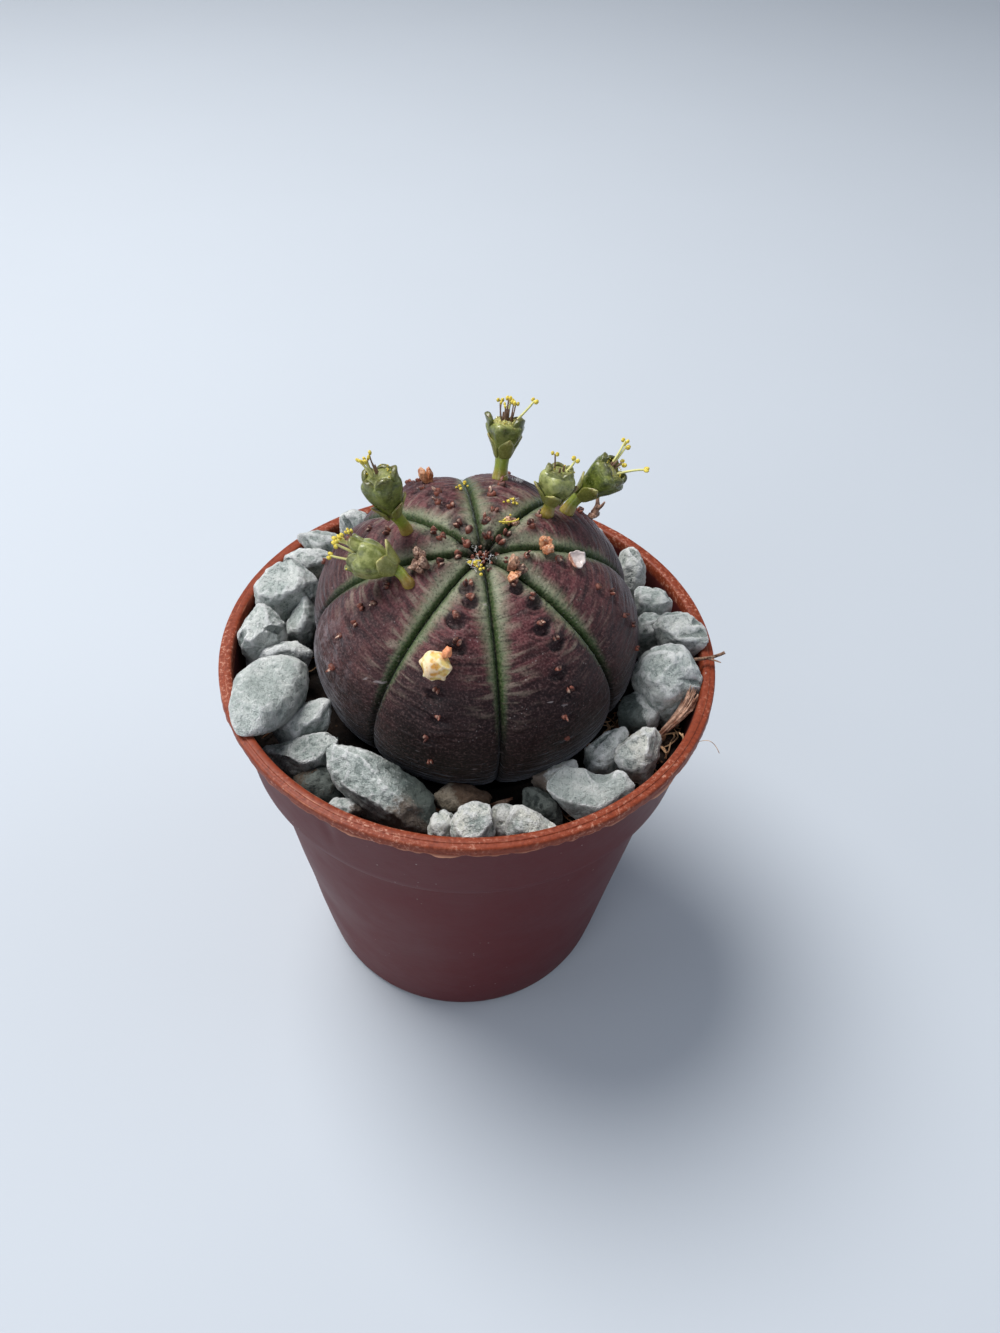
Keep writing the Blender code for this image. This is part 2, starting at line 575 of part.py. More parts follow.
def make_cyathium(number, azimuth, latitude, cup_foot, cup_mouth, radius, collection):
    name = f"cyathium_{number}"
    point, normal = skin(azimuth, latitude)
    foot = PLANT_MATRIX @ point + PLANT_TURN @ normal * (CLEARANCE + 0.1)
    first, mouth = foot + Vector(cup_foot), foot + Vector(cup_mouth)
    axis = (mouth - first).normalized()
    turn = facing(axis)
    body = store(name, tube(name, cup_points(foot, first, mouth, radius), collection), collection,
                 new_material(f"bloom_{number}", (0.16, 0.22, 0.05), 0.5))
    chance = random.Random(100 + number)
    pieces = new_collection("cyathium_pieces")
    for lobe in range(LOBES):
        swing = 2 * math.pi * (lobe + 0.2 * number) / LOBES
        side = turn @ Vector((math.cos(swing), math.sin(swing), 0))
        lean = facing(axis + side * 0.35, side)
        bm = bmesh.new()
        blob(bm, mouth - axis * 0.45 + side * radius * 0.85, lean, LOBE_SIZE)
        store(f"lobe_{lobe}", bm, pieces)
    for bract in range(3):
        swing = 2 * math.pi * (bract + 0.13 + 0.3 * number) / 3
        side = turn @ Vector((math.cos(swing), math.sin(swing), 0))
        lean = facing(axis + side * 0.42, side)
        bm = bmesh.new()
        blob(bm, first + axis * 1.1 + side * radius * 0.52, lean, BRACT_SIZE)
        store(f"bract_{bract}", bm, pieces)
    for stamen in range(STAMENS):
        swing = 2 * math.pi * (stamen + chance.uniform(-0.2, 0.2)) / STAMENS
        side = turn @ Vector((math.cos(swing), math.sin(swing), 0))
        length = STAMEN_LENGTH * chance.uniform(0.75, 1.05)
        lean = (axis + side * chance.uniform(0.15, 0.4)).normalized()
        start = mouth + side * radius * 0.25 - axis * 0.4
        bm = bmesh.new()
        cone(bm, start + lean * length / 2, facing(lean), STAMEN_RADIUS, STAMEN_RADIUS * 0.8, length, 4)
        store(f"filament_{stamen}", bm, pieces)
        bm = bmesh.new()
        blob(bm, start + lean * length, facing(lean), (ANTHER_RADIUS * 1.2, ANTHER_RADIUS, ANTHER_RADIUS))
        store(f"anther_{stamen}", bm, pieces)
    fuse(body, pieces)
    return body


def make_remains(name, azimuth, latitude, half_sizes, material, collection):
    """A lump that lies on the plant's skin, drawn out towards one end."""
    point, normal = skin(azimuth, latitude)
    turn = PLANT_TURN @ facing(normal)
    bm = bmesh.new()
    bmesh.ops.create_icosphere(bm, subdivisions=2, radius=1.0)
    for vert in bm.verts:
        vert.co.x *= 1 - REMAINS_PINCH * vert.co.y
        vert.co.z = max(vert.co.z, -REMAINS_FLAT)
    stretch = Matrix.Diagonal((*half_sizes, 1))
    lift = REMAINS_FLAT * half_sizes[2] + CLEARANCE + 0.1
    place = Matrix.Translation(PLANT_MATRIX @ point + turn @ Vector((0, 0, lift)))
    bm.transform(place @ turn.to_4x4() @ stretch)
    return store(name, bm, collection, material)


# The gravel: every stone starts as the hull of its outline, then is cut back from what it touches

def hull(points, merge=0.0):
    bm = bmesh.new()
    for point in points:
        bm.verts.new(point)
    if merge:
        bmesh.ops.remove_doubles(bm, verts=bm.verts, dist=merge)
    bmesh.ops.convex_hull(bm, input=bm.verts)
    loose = [vert for vert in bm.verts if not vert.link_faces]
    bmesh.ops.delete(bm, geom=loose, context="VERTS")
    bmesh.ops.recalc_face_normals(bm, faces=bm.faces)
    return bm


def cut_back(points, normal, reach):
    """The points of the part of a convex body that lies no further than reach along the normal."""
    if max(point.dot(normal) for point in points) <= reach:
        return points
    bm = hull(points)
    kept = [vert.co.copy() for vert in bm.verts if vert.co.dot(normal) <= reach]
    for edge in bm.edges:
        start, end = (vert.co for vert in edge.verts)
        before, after = start.dot(normal) - reach, end.dot(normal) - reach
        if before * after < 0:
            kept.append(start.lerp(end, before / (before - after)))
    bm.free()
    return kept


def outline_points(centre, thickness, reaches, chance):
    """The corners of a chunk with the given outline, which stands on the soil or on other stones."""
    points = []
    for number, reach in enumerate(reaches):
        turn = 2 * math.pi * number / len(reaches)
        side = VIEW_RIGHT * math.cos(turn) + VIEW_UP * math.sin(turn)
        points.append(centre + side * reach)
        if number % 2 == 0:
            inwards = side * reach * chance.uniform(0.45, 0.7)
            points.append(centre + inwards + VIEW_NEAR * thickness * STONE_FRONT)
            points.append(centre + side * reach * 0.6 - VIEW_NEAR * thickness * STONE_BACK)
    drop = min(centre.z - soil_height(centre.x, centre.y) - 0.2, STONE_DROP)
    width = STONE_BASE_WIDTH * min(max(reaches), 1.15 * sum(reaches) / len(reaches))
    for number in range(4):
        turn = math.pi * (0.25 + number / 2)
        points.append(centre + Vector((width * math.cos(turn), width * math.sin(turn), -drop)))
    return points


def chunk_points(centre, size, chance):
    """The corners of an angular chunk of about the same size each way."""
    points = []
    for number in range(CHUNK_CORNERS):
        height = 1 - 2 * (number + 0.5) / CHUNK_CORNERS
        ring = math.sqrt(1 - height**2)
        turn = number * GOLDEN_TURN + chance.uniform(-0.3, 0.3)
        corner = Vector((ring * math.cos(turn), ring * math.sin(turn), 1.15 * height))
        points.append(centre + corner * size * chance.uniform(0.85, 1.1))
    return points


def leaning_points():
    """The corners of the slab that lies across the lip: its outline, its top and its foot."""
    outline = [Vector(corner) for corner in LEANING_OUTLINE]
    middle = sum(outline, Vector()) / len(outline)
    points = list(outline)
    for share, shift in (LEANING_TOP, LEANING_FOOT):
        points += [middle.lerp(corner, share) + shift for corner in outline]
    return points


def directions(count=120):
    for number in range(count):
        height = 1 - 2 * (number + 0.5) / count
        ring = math.sqrt(1 - height**2)
        turn = number * GOLDEN_TURN
        yield Vector((ring * math.cos(turn), ring * math.sin(turn), height))


def widest_gap(first, second):
    """The direction in which second lies furthest from first, and where first ends and second starts."""
    best = None
    for normal in directions():
        end = max(point.dot(normal) for point in first)
        start = min(point.dot(normal) for point in second)
        if best is None or start - end > best[2] - best[1]:
            best = (normal, end, start)
    return best


def cut_from_wall(points):
    """Keeps a stone inside the facets of the pot's inner wall."""
    middle = sum(points, Vector()) / len(points)
    slope = (COLLAR_TOP_RADIUS - COLLAR_FOOT_RADIUS) / (POT_HEIGHT - LIP_HEIGHT - COLLAR_FOOT_Z)
    bearing = math.atan2(middle.y, middle.x)
    for number in range(POT_STEPS):
        turn = 2 * math.pi * (number + 0.5) / POT_STEPS
        if math.cos(turn - bearing) < 0.75:
            continue
        normal = Vector((math.cos(turn), math.sin(turn), -slope)).normalized()
        at = inner_wall(POT_HEIGHT) * math.cos(math.pi / POT_STEPS) - CLEARANCE - 0.15
        on_wall = Vector((at * math.cos(turn), at * math.sin(turn), POT_HEIGHT))
        points = cut_back(points, normal, on_wall.dot(normal))
    return points


def cut_from_lip(points):
    """Keeps a stone above planes that rise outwards over the lip's inner edge."""
    edge = LIP_RADIUS - LIP_WIDTH + 0.4
    for number in range(POT_STEPS):
        turn = 2 * math.pi * (number + 0.5) / POT_STEPS
        normal = Vector((math.sin(LEANING_SLOPE) * math.cos(turn),
                         math.sin(LEANING_SLOPE) * math.sin(turn), -math.cos(LEANING_SLOPE)))
        on_edge = Vector((edge * math.cos(turn), edge * math.sin(turn), POT_HEIGHT))
        points = cut_back(points, normal, on_edge.dot(normal) - CLEARANCE)
    return points


def cut_from_globe(points):
    """Keeps a stone outside the plane that touches the globe nearest to it."""
    middle = PLANT_MATRIX.inverted() @ (sum(points, Vector()) / len(points))
    latitude = math.degrees(math.atan2(middle.z / GLOBE_HALF_HEIGHT,
                                       math.hypot(middle.x, middle.y) / GLOBE_RADIUS))
    point, normal = full_globe(math.degrees(math.atan2(middle.y, middle.x)), latitude)
    outward = PLANT_TURN @ normal
    touch = (PLANT_MATRIX @ point).dot(outward) + CLEARANCE + 0.1
    return cut_back(points, -outward, -touch)


def cut_from_soil(points):
    """Seats a stone on a plane that clears the soil under all of it."""
    normal = Vector((0, -SOIL_SLOPE, 1))
    low = Vector((min(p.x for p in points), min(p.y for p in points)))
    high = Vector((max(p.x for p in points), max(p.y for p in points)))
    level = -math.inf
    for across in range(7):
        for along in range(7):
            x = low.x + (high.x - low.x) * across / 6
            y = low.y + (high.y - low.y) * along / 6
            level = max(level, soil_height(x, y) - SOIL_SLOPE * y)
    seat = level + CLEARANCE
    return cut_back(points, -normal.normalized(), -seat / normal.length)


def make_stones(collection, materials, fixed):
    chance = random.Random(STONE_SEED)
    bodies = {}
    colours = {}
    for name, (centre, thickness, reaches, colour) in STONES.items():
        bodies[name] = outline_points(Vector(centre), thickness, reaches, chance)
        colours[name] = colour
    for name, (azimuth, radius, height, size, colour) in BACK_STONES.items():
        turn = math.radians(azimuth)
        centre = Vector((radius * math.cos(turn), radius * math.sin(turn), height))
        bodies[name] = chunk_points(centre, size, chance)
        colours[name] = colour
    for name, points in bodies.items():
        bodies[name] = cut_from_soil(cut_from_wall(cut_from_globe(points)))
    bodies[LEANING_STONE] = cut_from_lip(cut_from_globe(leaning_points()))
    colours[LEANING_STONE] = "pale"
    for name in bodies:
        for other in fixed:
            normal, end, start = widest_gap(other, bodies[name])
            if start - end < CLEARANCE:
                bodies[name] = cut_back(bodies[name], -normal, -end - CLEARANCE)
    names = list(bodies)
    for place, name in enumerate(names):
        for other in names[place + 1:]:
            normal, end, start = widest_gap(bodies[name], bodies[other])
            if start - end < CLEARANCE:
                middle = (start + end) / 2
                bodies[name] = cut_back(bodies[name], normal, middle - CLEARANCE / 2)
                bodies[other] = cut_back(bodies[other], -normal, -middle - CLEARANCE / 2)
    for name, points in bodies.items():
        store(name, hull(points, CORNER_MERGE), collection, materials[colours[name]], smooth_below=20)


def make_wood(name, points, collection, material):
    bm = tube(name, points, collection, sides=1)
    corners = [vert.co.copy() for vert in bm.verts]
    store(name, bm, collection, material)
    return corners


def main():
    clear_scene()
    parts = new_collection("potted_baseball_plant")
    cutters = new_collection("cutters", hidden=True)
    make_pot(parts, cutters)
    make_soil(parts, cutters)
    make_plant(parts)
    for number, flower in enumerate(CYATHIA, 1):
        make_cyathium(number, *flower, parts)
    make_remains("dried_bud", *DRIED_BUD, new_material("dried_bud", (0.75, 0.55, 0.22), 0.6), parts)
    make_remains("seed_husk", *SEED_HUSK, new_material("seed_husk", (0.75, 0.68, 0.62), 0.4), parts)
    wood = new_material("dry_wood", (0.36, 0.17, 0.08), 0.8)
    fixed = [make_wood("bark_sliver", BARK_SLIVER, parts, wood),
             make_wood("bark_chip", BARK_CHIP, parts, wood),
             make_wood("twig", TWIG, parts, wood)]
    stone_materials = {
        "pale": new_material("gravel_pale", (0.50, 0.53, 0.48), 0.9),
        "dark": new_material("gravel_dark", (0.16, 0.18, 0.17), 0.85),
        "brown": new_material("gravel_brown", (0.30, 0.26, 0.21), 0.9),
    }
    make_stones(parts, stone_materials, fixed)


main()
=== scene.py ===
import math
import random

import bpy
import numpy as np
from mathutils import Matrix, Vector


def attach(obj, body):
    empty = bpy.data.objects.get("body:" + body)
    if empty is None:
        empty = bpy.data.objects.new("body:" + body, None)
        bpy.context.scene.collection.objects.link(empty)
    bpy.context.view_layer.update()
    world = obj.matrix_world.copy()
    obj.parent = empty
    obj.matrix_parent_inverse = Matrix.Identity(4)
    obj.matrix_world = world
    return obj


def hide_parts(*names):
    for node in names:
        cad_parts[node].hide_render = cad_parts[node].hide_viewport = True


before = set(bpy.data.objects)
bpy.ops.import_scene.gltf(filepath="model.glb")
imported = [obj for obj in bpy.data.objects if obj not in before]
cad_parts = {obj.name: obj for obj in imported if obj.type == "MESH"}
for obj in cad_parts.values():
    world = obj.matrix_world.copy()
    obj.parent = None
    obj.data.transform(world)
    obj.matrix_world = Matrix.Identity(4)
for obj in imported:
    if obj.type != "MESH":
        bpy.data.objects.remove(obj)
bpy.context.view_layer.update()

# Everything is modelled in millimetres, and becomes metres in finishPiece.


def clearSelection():
    if bpy.context.object and bpy.context.object.mode != "OBJECT":
        bpy.ops.object.mode_set(mode="OBJECT")
    bpy.ops.object.select_all(action="DESELECT")


def pick(*pieces):
    clearSelection()
    for piece in pieces:
        piece.select_set(True)
    bpy.context.view_layer.objects.active = pieces[0]


def add(operator, **settings):
    # runs one of the Add operators and hands back what it made
    clearSelection()
    operator(**settings)
    return bpy.context.object


def applyPlace(piece):
    pick(piece)
    bpy.ops.object.transform_apply(location=True, rotation=True, scale=True)


def readRows(rows, name, width=3, kind=np.float32):
    data = np.empty(len(rows) * width, kind)
    rows.foreach_get(name, data)
    return data.reshape(-1, width)


def getPoints(piece):
    return readRows(piece.data.vertices, "co").astype(float)


def getNormals(piece):
    return readRows(piece.data.vertex_normals, "vector").astype(float)


def setPoints(piece, points):
    piece.data.vertices.foreach_set("co", np.asarray(points, np.float32).ravel())
    piece.data.update()


def paint(piece, name, values):
    # a value for every point, which the finish reads with layer(name)
    layer = piece.data.attributes.get(name) or piece.data.attributes.new(name, "FLOAT", "POINT")
    layer.data.foreach_set("value", np.zeros(len(piece.data.vertices), np.float32) + np.asarray(values, np.float32))


def modify(piece, kind, **settings):
    # adds a modifier and applies it at once
    made = piece.modifiers.new(kind.lower(), kind)
    for name, value in settings.items():
        setattr(made, name, value)
    pick(piece)
    bpy.ops.object.modifier_apply(modifier=made.name)


def copyTo(model, matrix=Matrix.Identity(4)):
    twin = model.copy()
    twin.data = model.data.copy()
    twin.data.transform(matrix)
    bpy.context.collection.objects.link(twin)
    return twin


def joinPieces(pieces):
    pick(*pieces)
    bpy.ops.object.join()
    return bpy.context.object


def throwAway(*pieces):
    for piece in pieces:
        bpy.data.objects.remove(piece, do_unlink=True)


def upright(y, z):
    # a turn with these two for its Y and Z
    return Matrix((y.cross(z), y, z)).transposed()


def facing(way):
    # a turn whose Z looks along way, with X level
    z = Vector(way).normalized()
    guide = Vector((1, 0, 0)) if abs(z.z) > 0.98 else Vector((0, 0, 1))
    x = guide.cross(z).normalized()
    return Matrix((x, z.cross(x), z)).transposed()


def placed(place, turn, size=1.0, tall=1.0):
    return Matrix.Translation(place) @ turn.to_4x4() @ Matrix.Diagonal((size, size, size * tall, 1))


def roundTo(angle, reach=1.0, height=0.0):
    # a place on a circle round the Z axis
    return Vector((reach * math.cos(angle), reach * math.sin(angle), height))


def wrapped(degrees):
    return (degrees + 180) % 360 - 180


def easeStep(low, high, values):
    share = np.clip((values - low) / (high - low), 0, 1)
    return share * share * (3 - 2 * share)


def bell(*shares):
    # 1 where every share is 0, almost nothing where one of them is past 2
    return np.exp(-sum(share ** 2 for share in shares))


def unit(way):
    return way / np.linalg.norm(way)


def distance(points, spot):
    return np.linalg.norm(points - spot, axis=1)


def dice(at, seed):
    # a chance value from 0 to 1 for each place of a lattice
    code = at[:, 0] * 374761393 + at[:, 1] * 668265263 + at[:, 2] * 1442695041 + seed * 1274126177
    code = (code ^ (code >> 13)) * 1103515245 & 0x7FFFFFFF
    code = (code ^ (code >> 15)) * 747796405 & 0x7FFFFFFF
    return (code >> 7 & 0xFFFF) / 65535


def lumps(points, size, seed, octaves=1):
    # smooth random values from -1 to 1, with lumps of about the given size
    total, gain, weights = 0.0, 1.0, 0.0
    for octave in range(octaves):
        grid = np.asarray(points, float) / size + 17.3 * (seed + octave)
        cell = np.floor(grid).astype(np.int64)
        part = grid - cell
        part = part * part * (3 - 2 * part)
        for corner in range(8):
            step = np.array([corner & 1, corner >> 1 & 1, corner >> 2 & 1])
            weight = np.prod(np.where(step == 1, part, 1 - part), axis=1)
            total = total + gain * (dice(cell + step, seed) * 2 - 1) * weight
        weights += gain
        gain, size = gain * 0.5, size * 0.5
    return total / weights


def chips(points, size, seed):
    # hollows of uneven size that meet in sharp ridges, as on a broken stone
    grid = points / size + 31.7 * seed
    home = np.floor(grid).astype(np.int64)
    height = np.full(len(points), 1.2)
    for step in np.ndindex(3, 3, 3):
        at = home + np.array(step) - 1
        spot = at + np.stack([dice(at, seed + axis * 57) for axis in range(3)], 1)
        far = np.sum((grid - spot) ** 2, axis=1)
        height = np.minimum(height, far * 1.25 + 0.6 * dice(at, seed + 7))
    return height


def evened(piece, values, rounds):
    # the values (or places) of a piece's points averaged with their neighbours, over and over
    first, second = readRows(piece.data.edges, "vertices", 2, np.int32).T
    flat = values.reshape(len(values), -1).copy()
    ends, others = np.concatenate((first, second)), np.concatenate((second, first))
    count = np.maximum(np.bincount(ends, minlength=len(flat)), 1)
    for again in range(rounds):
        for column in range(flat.shape[1]):
            total = np.bincount(ends, weights=flat[others, column], minlength=len(flat))
            flat[:, column] = 0.5 * flat[:, column] + 0.5 * total / count
    return flat.reshape(values.shape)


def roughen(piece, depth, size, seed, octaves=2):
    points = getPoints(piece)
    setPoints(piece, points + getNormals(piece) * (depth * lumps(points, size, seed, octaves))[:, None])


def lump(size, seed, ragged, grain, divisions=2):
    # an uneven ball to start small things from
    piece = add(bpy.ops.mesh.primitive_ico_sphere_add, subdivisions=divisions, radius=1)
    points = getPoints(piece)
    swell = 1 + ragged * lumps(points, grain, seed, 2)
    setPoints(piece, points * swell[:, None] * np.array(size))
    return piece


def turnRings(rings, sides):
    # a filled circle, extruded ring by ring through (radius, height)
    radius, height = rings[0]
    piece = add(bpy.ops.mesh.primitive_circle_add, vertices=sides, radius=radius, fill_type="NGON",
                location=(0, 0, height))
    applyPlace(piece)
    bpy.ops.object.mode_set(mode="EDIT")
    bpy.ops.mesh.select_all(action="SELECT")
    for nextRadius, nextHeight in rings[1:]:
        bpy.ops.mesh.extrude_region_move(TRANSFORM_OT_translate={"value": (0, 0, nextHeight - height)})
        grow = nextRadius / radius
        bpy.ops.transform.resize(value=(grow, grow, 1), center_override=(0, 0, 0))
        radius, height = nextRadius, nextHeight
    bpy.ops.mesh.select_all(action="SELECT")
    bpy.ops.mesh.normals_make_consistent(inside=False)
    bpy.ops.object.mode_set(mode="OBJECT")
    return piece


def wires(paths, sides=1, steps=4):
    # round wires through (place, radius) knots, all in one mesh
    piece = add(bpy.ops.curve.primitive_bezier_curve_add)
    curve = piece.data
    curve.splines.clear()
    curve.dimensions = "3D"
    curve.bevel_depth = 1.0
    curve.bevel_resolution = sides
    curve.use_fill_caps = True
    for path in paths:
        spline = curve.splines.new("NURBS")
        spline.points.add(len(path) - 1)
        for point, (place, radius) in zip(spline.points, path):
            point.co = (*place, 1)
            point.radius = radius
        spline.order_u = min(4, len(path))
        spline.use_endpoint_u = True
        spline.resolution_u = steps
    bpy.ops.object.convert(target="MESH")
    return bpy.context.object


def finishPiece(piece, name, finish, node=None, angle=180):
    # angle: an edge that bends more than this stays sharp
    piece.name = piece.data.name = name
    applyPlace(piece)
    piece.data.transform(Matrix.Scale(0.001, 4))
    piece.data.materials.clear()
    piece.data.materials.append(finish.material)
    if angle < 180:
        bpy.ops.object.shade_smooth_by_angle(angle=math.radians(angle))
    else:
        bpy.ops.object.shade_smooth()
    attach(piece, "root")
    if node:
        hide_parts(node)


class Wire:
    # a socket that can be used in a sum
    def __init__(self, finish, socket):
        self.finish, self.socket = finish, socket

    def maths(self, operation, first, second):
        return self.finish.node("ShaderNodeMath", {"operation": operation}, {0: first, 1: second})

    def __add__(self, other):
        return self.maths("ADD", self, other)

    def __radd__(self, other):
        return self.maths("ADD", other, self)

    def __sub__(self, other):
        return self.maths("SUBTRACT", self, other)

    def __rsub__(self, other):
        return self.maths("SUBTRACT", other, self)

    def __mul__(self, other):
        return self.maths("MULTIPLY", self, other)

    def __rmul__(self, other):
        return self.maths("MULTIPLY", other, self)

    def __truediv__(self, other):
        return self.maths("DIVIDE", self, other)

    def __rtruediv__(self, other):
        return self.maths("DIVIDE", other, self)


def shaderColour(screen, share=1.0, most=1.0):
    # a screen colour, 0 to 255, as a shader colour, made darker or paler by share
    linear = (c / 255 / 12.92 if c <= 10 else ((c / 255 + 0.055) / 1.055) ** 2.4 for c in screen)
    return (*(min(c * share, most) for c in linear), 1)


class Finish:
    # one material: its shader, the colour laid down so far, and the method that makes every other node
    def __init__(self, name, roughness, gloss=0.5, **fixed):
        self.material = bpy.data.materials.new(name)
        self.material.use_nodes = True
        self.tree = self.material.node_tree
        self.shader = self.tree.nodes["Principled BSDF"]
        self.place = self.node("ShaderNodeTexCoord", {}, {}, "Object")
        for socket, value in {"Roughness": roughness, "Specular_IOR_Level": gloss, **fixed}.items():
            self.plug(self.shader.inputs[socket.replace("_", " ")], value)

    def plug(self, socket, value):
        if isinstance(value, Wire):
            self.tree.links.new(value.socket, socket)
        else:
            socket.default_value = value

    def node(self, kind, settings, sockets, output=0):
        made = self.tree.nodes.new(kind)
        for name, value in settings.items():
            setattr(made, name, value)
        for name, value in sockets.items():
            self.plug(made.inputs[name], value)
        return Wire(self, made.outputs[output])

    def layer(self, name):
        return self.node("ShaderNodeAttribute", {"attribute_name": name}, {}, "Fac")

    def moved(self, place, **settings):
        return self.node("ShaderNodeMapping", {}, {"Vector": place, **settings})

    def noise(self, size, detail=2.0, rough=0.5, distortion=0.0, place=None):
        # size in millimetres
        return self.node("ShaderNodeTexNoise", {}, {"Vector": place or self.place, "Scale": 1000 / size,
                                                    "Detail": detail, "Roughness": rough, "Distortion": distortion})

    def between(self, value, low, high, start=0.0, end=1.0):
        # start where value is low, end where it is high, and smooth in between
        return self.node("ShaderNodeMapRange", {"interpolation_type": "SMOOTHSTEP"}, {
            "Value": value, "From Min": low, "From Max": high, "To Min": start, "To Max": end})

    def patches(self, size, low, high, detail=2.0, rough=0.5):
        return self.between(self.noise(size, detail, rough), low, high)

    def dots(self, size, low, high):
        spots = self.node("ShaderNodeTexVoronoi", {}, {"Vector": self.place, "Scale": 1000 / size}, "Distance")
        return self.between(spots, low, high)

    def blend(self, share, first, second):
        # each colour is a wire, three screen values from 0 to 255, or a shader colour of four
        first, second = (shaderColour(c) if isinstance(c, tuple) and len(c) == 3 else c for c in (first, second))
        return self.node("ShaderNodeMix", {"data_type": "RGBA"}, {0: share, 6: first, 7: second}, 2)

    def coat(self, share, colour):
        # lays a colour over what is there so far
        self.colour = self.blend(share, self.colour, colour)

    def relief(self, height, depth, before=None):
        # depth in millimetres
        sockets = {"Height": height, "Strength": 1.0, "Distance": depth / 1000}
        return self.node("ShaderNodeBump", {}, {**sockets, "Normal": before} if before else sockets)

    def show(self, relief=None, roughness=None):
        for name, value in (("Base Color", self.colour), ("Normal", relief), ("Roughness", roughness)):
            if value:
                self.plug(self.shader.inputs[name], value)


def cloudyFinish(name, roughness, colours, clouds, grain, depth):
    # two colours in clouds, over a fine relief: what fibres, crumbs and pollen need
    finish = Finish(name, roughness, 0.3)
    finish.colour = finish.blend(finish.patches(*clouds), *colours)
    finish.show(finish.relief(finish.noise(*grain), depth))
    return finish


lookout = {
    "place": (0.00357, -0.07912, 0.12926),
    "down": 46.45,  # degrees below level
    "roll": 3.47,
    "lens": 27.007,
}


def setCamera():
    down, roll = math.radians(lookout["down"]), math.radians(lookout["roll"])
    ahead = Vector((0, math.cos(down), -math.sin(down)))
    right = Vector((1, 0, 0))
    up = right.cross(ahead)
    rolledRight = math.cos(roll) * right + math.sin(roll) * up
    rolledUp = -math.sin(roll) * right + math.cos(roll) * up
    camera = add(bpy.ops.object.camera_add)
    camera.name = "camera"
    camera.data.sensor_width = 36
    camera.data.lens = lookout["lens"]
    camera.data.clip_start = 0.001
    turn = Matrix((rolledRight, rolledUp, -ahead)).transposed().to_4x4()
    camera.matrix_world = Matrix.Translation(lookout["place"]) @ turn
    bpy.context.scene.camera = camera


studio = {
    "floor": (0.50, 0.54, 0.59, 1),
    "floorSize": 2.4,
    "sky": (0.74, 0.83, 1.0, 1),
    "skyStrength": 0.27,
    "aim": (0, 0, 0.045),
    # place, size across, watts, colour
    "lamps": {
        "keyLamp": ((-0.26, 0.16, 0.64), 0.40, 5.7, (1.0, 0.985, 0.96)),
        "frontLamp": ((-0.35, -0.62, 0.40), 0.55, 1.7, (0.93, 0.96, 1.0)),
        "leftLamp": ((-0.62, -0.10, 0.36), 0.50, 0.8, (0.93, 0.96, 1.0)),
        "rightLamp": ((0.62, 0.10, 0.45), 0.50, 0.8, (0.90, 0.95, 1.0)),
    },
}


def setStudio():
    floor = add(bpy.ops.mesh.primitive_grid_add, x_subdivisions=8, y_subdivisions=8, size=studio["floorSize"])
    floor.name = "floor"
    finish = Finish("palePaper", 0.85)
    darker = tuple(c * 0.97 for c in studio["floor"])
    finish.colour = finish.blend(finish.noise(60, 3), darker, studio["floor"])
    finish.show()
    floor.data.materials.append(finish.material)
    for name, (place, size, watts, colour) in studio["lamps"].items():
        lamp = add(bpy.ops.object.light_add, type="AREA")
        lamp.name = name
        lamp.data.shape = "DISK"
        lamp.data.size, lamp.data.energy, lamp.data.color = size, watts, colour
        turn = facing(Vector(place) - Vector(studio["aim"]))
        lamp.matrix_world = Matrix.Translation(place) @ turn.to_4x4()
    world = bpy.data.worlds.new("softSky")
    world.use_nodes = True
    sky = world.node_tree.nodes["Background"]
    sky.inputs["Color"].default_value = studio["sky"]
    sky.inputs["Strength"].default_value = studio["skyStrength"]
    bpy.context.scene.world = world
    bpy.context.scene.view_settings.view_transform = "Standard"


pot = {
    "sides": 480,
    "wall": 0.8,
    # outer radius and height at the foot, then how far it rises and spreads
    "body": (19.45, 0.0, 38.4, 4.8),
    "collar": (25.6, 39.0, 9.8, 1.05),
    # radius and height of the rings: over the rolled lip, under the collar, round the standing ring
    "lip": [(25.93, 49.0), (25.97, 49.4), (26.03, 49.70), (26.10, 49.88), (26.2, 49.96), (26.45, 49.99),
            (26.7, 50.0), (26.80, 49.98), (26.84, 49.90), (26.90, 49.87), (27.1, 49.89), (27.3, 49.88),
            (27.40, 49.82), (27.46, 49.70), (27.49, 49.5), (27.5, 49.3), (27.49, 49.1), (27.46, 48.98),
            (27.4, 48.9), (27.25, 48.86), (27.05, 48.83), (26.87, 48.76), (26.74, 48.62)],
    "step": [(25.5, 38.82), (25.25, 38.7), (24.8, 38.6), (24.45, 38.48), (24.28, 38.25)],
    "foot": [(19.5, 1.0), (19.38, 0.55), (19.2, 0.2), (18.95, 0.04), (18.7, 0.0), (17.5, 0.0),
             (17.35, 0.12), (17.25, 0.5), (17.2, 1.6), (16.4, 1.6)],
    "holes": (5, 11.0, 2.3),  # how many, on what circle, radius
    "notches": (4, 17.7, (6, 3, 1.6)),  # how many, on what circle, size
    # angle, height, half width, half height and depth
    "dents": ((-118.5, 45.2, 0.7, 2.4, 0.16), (-92, 22, 5, 8, 0.10), (-60, 30, 4, 6, 0.12),
              (-128, 12, 4, 5, 0.10), (40, 26, 5, 7, 0.12), (150, 20, 5, 8, 0.12)),
    "burrDrop": 0.42,  # how far the ragged flash hangs under the lip
    "bodyColours": ((80, 20, 24), (92, 25, 29)),
    "lipColours": ((120, 50, 28), (144, 66, 40)),
}


def innerWall(z):
    # the radius of the pot's inside at a height
    foot, low, rise, spread = pot["collar"] if z >= pot["collar"][1] else pot["body"]
    return foot + (z - low) / rise * spread - pot["wall"]


def ringsBetween(first, last, steps):
    return [tuple(a + (b - a) * n / steps for a, b in zip(first, last)) for n in range(steps + 1)]


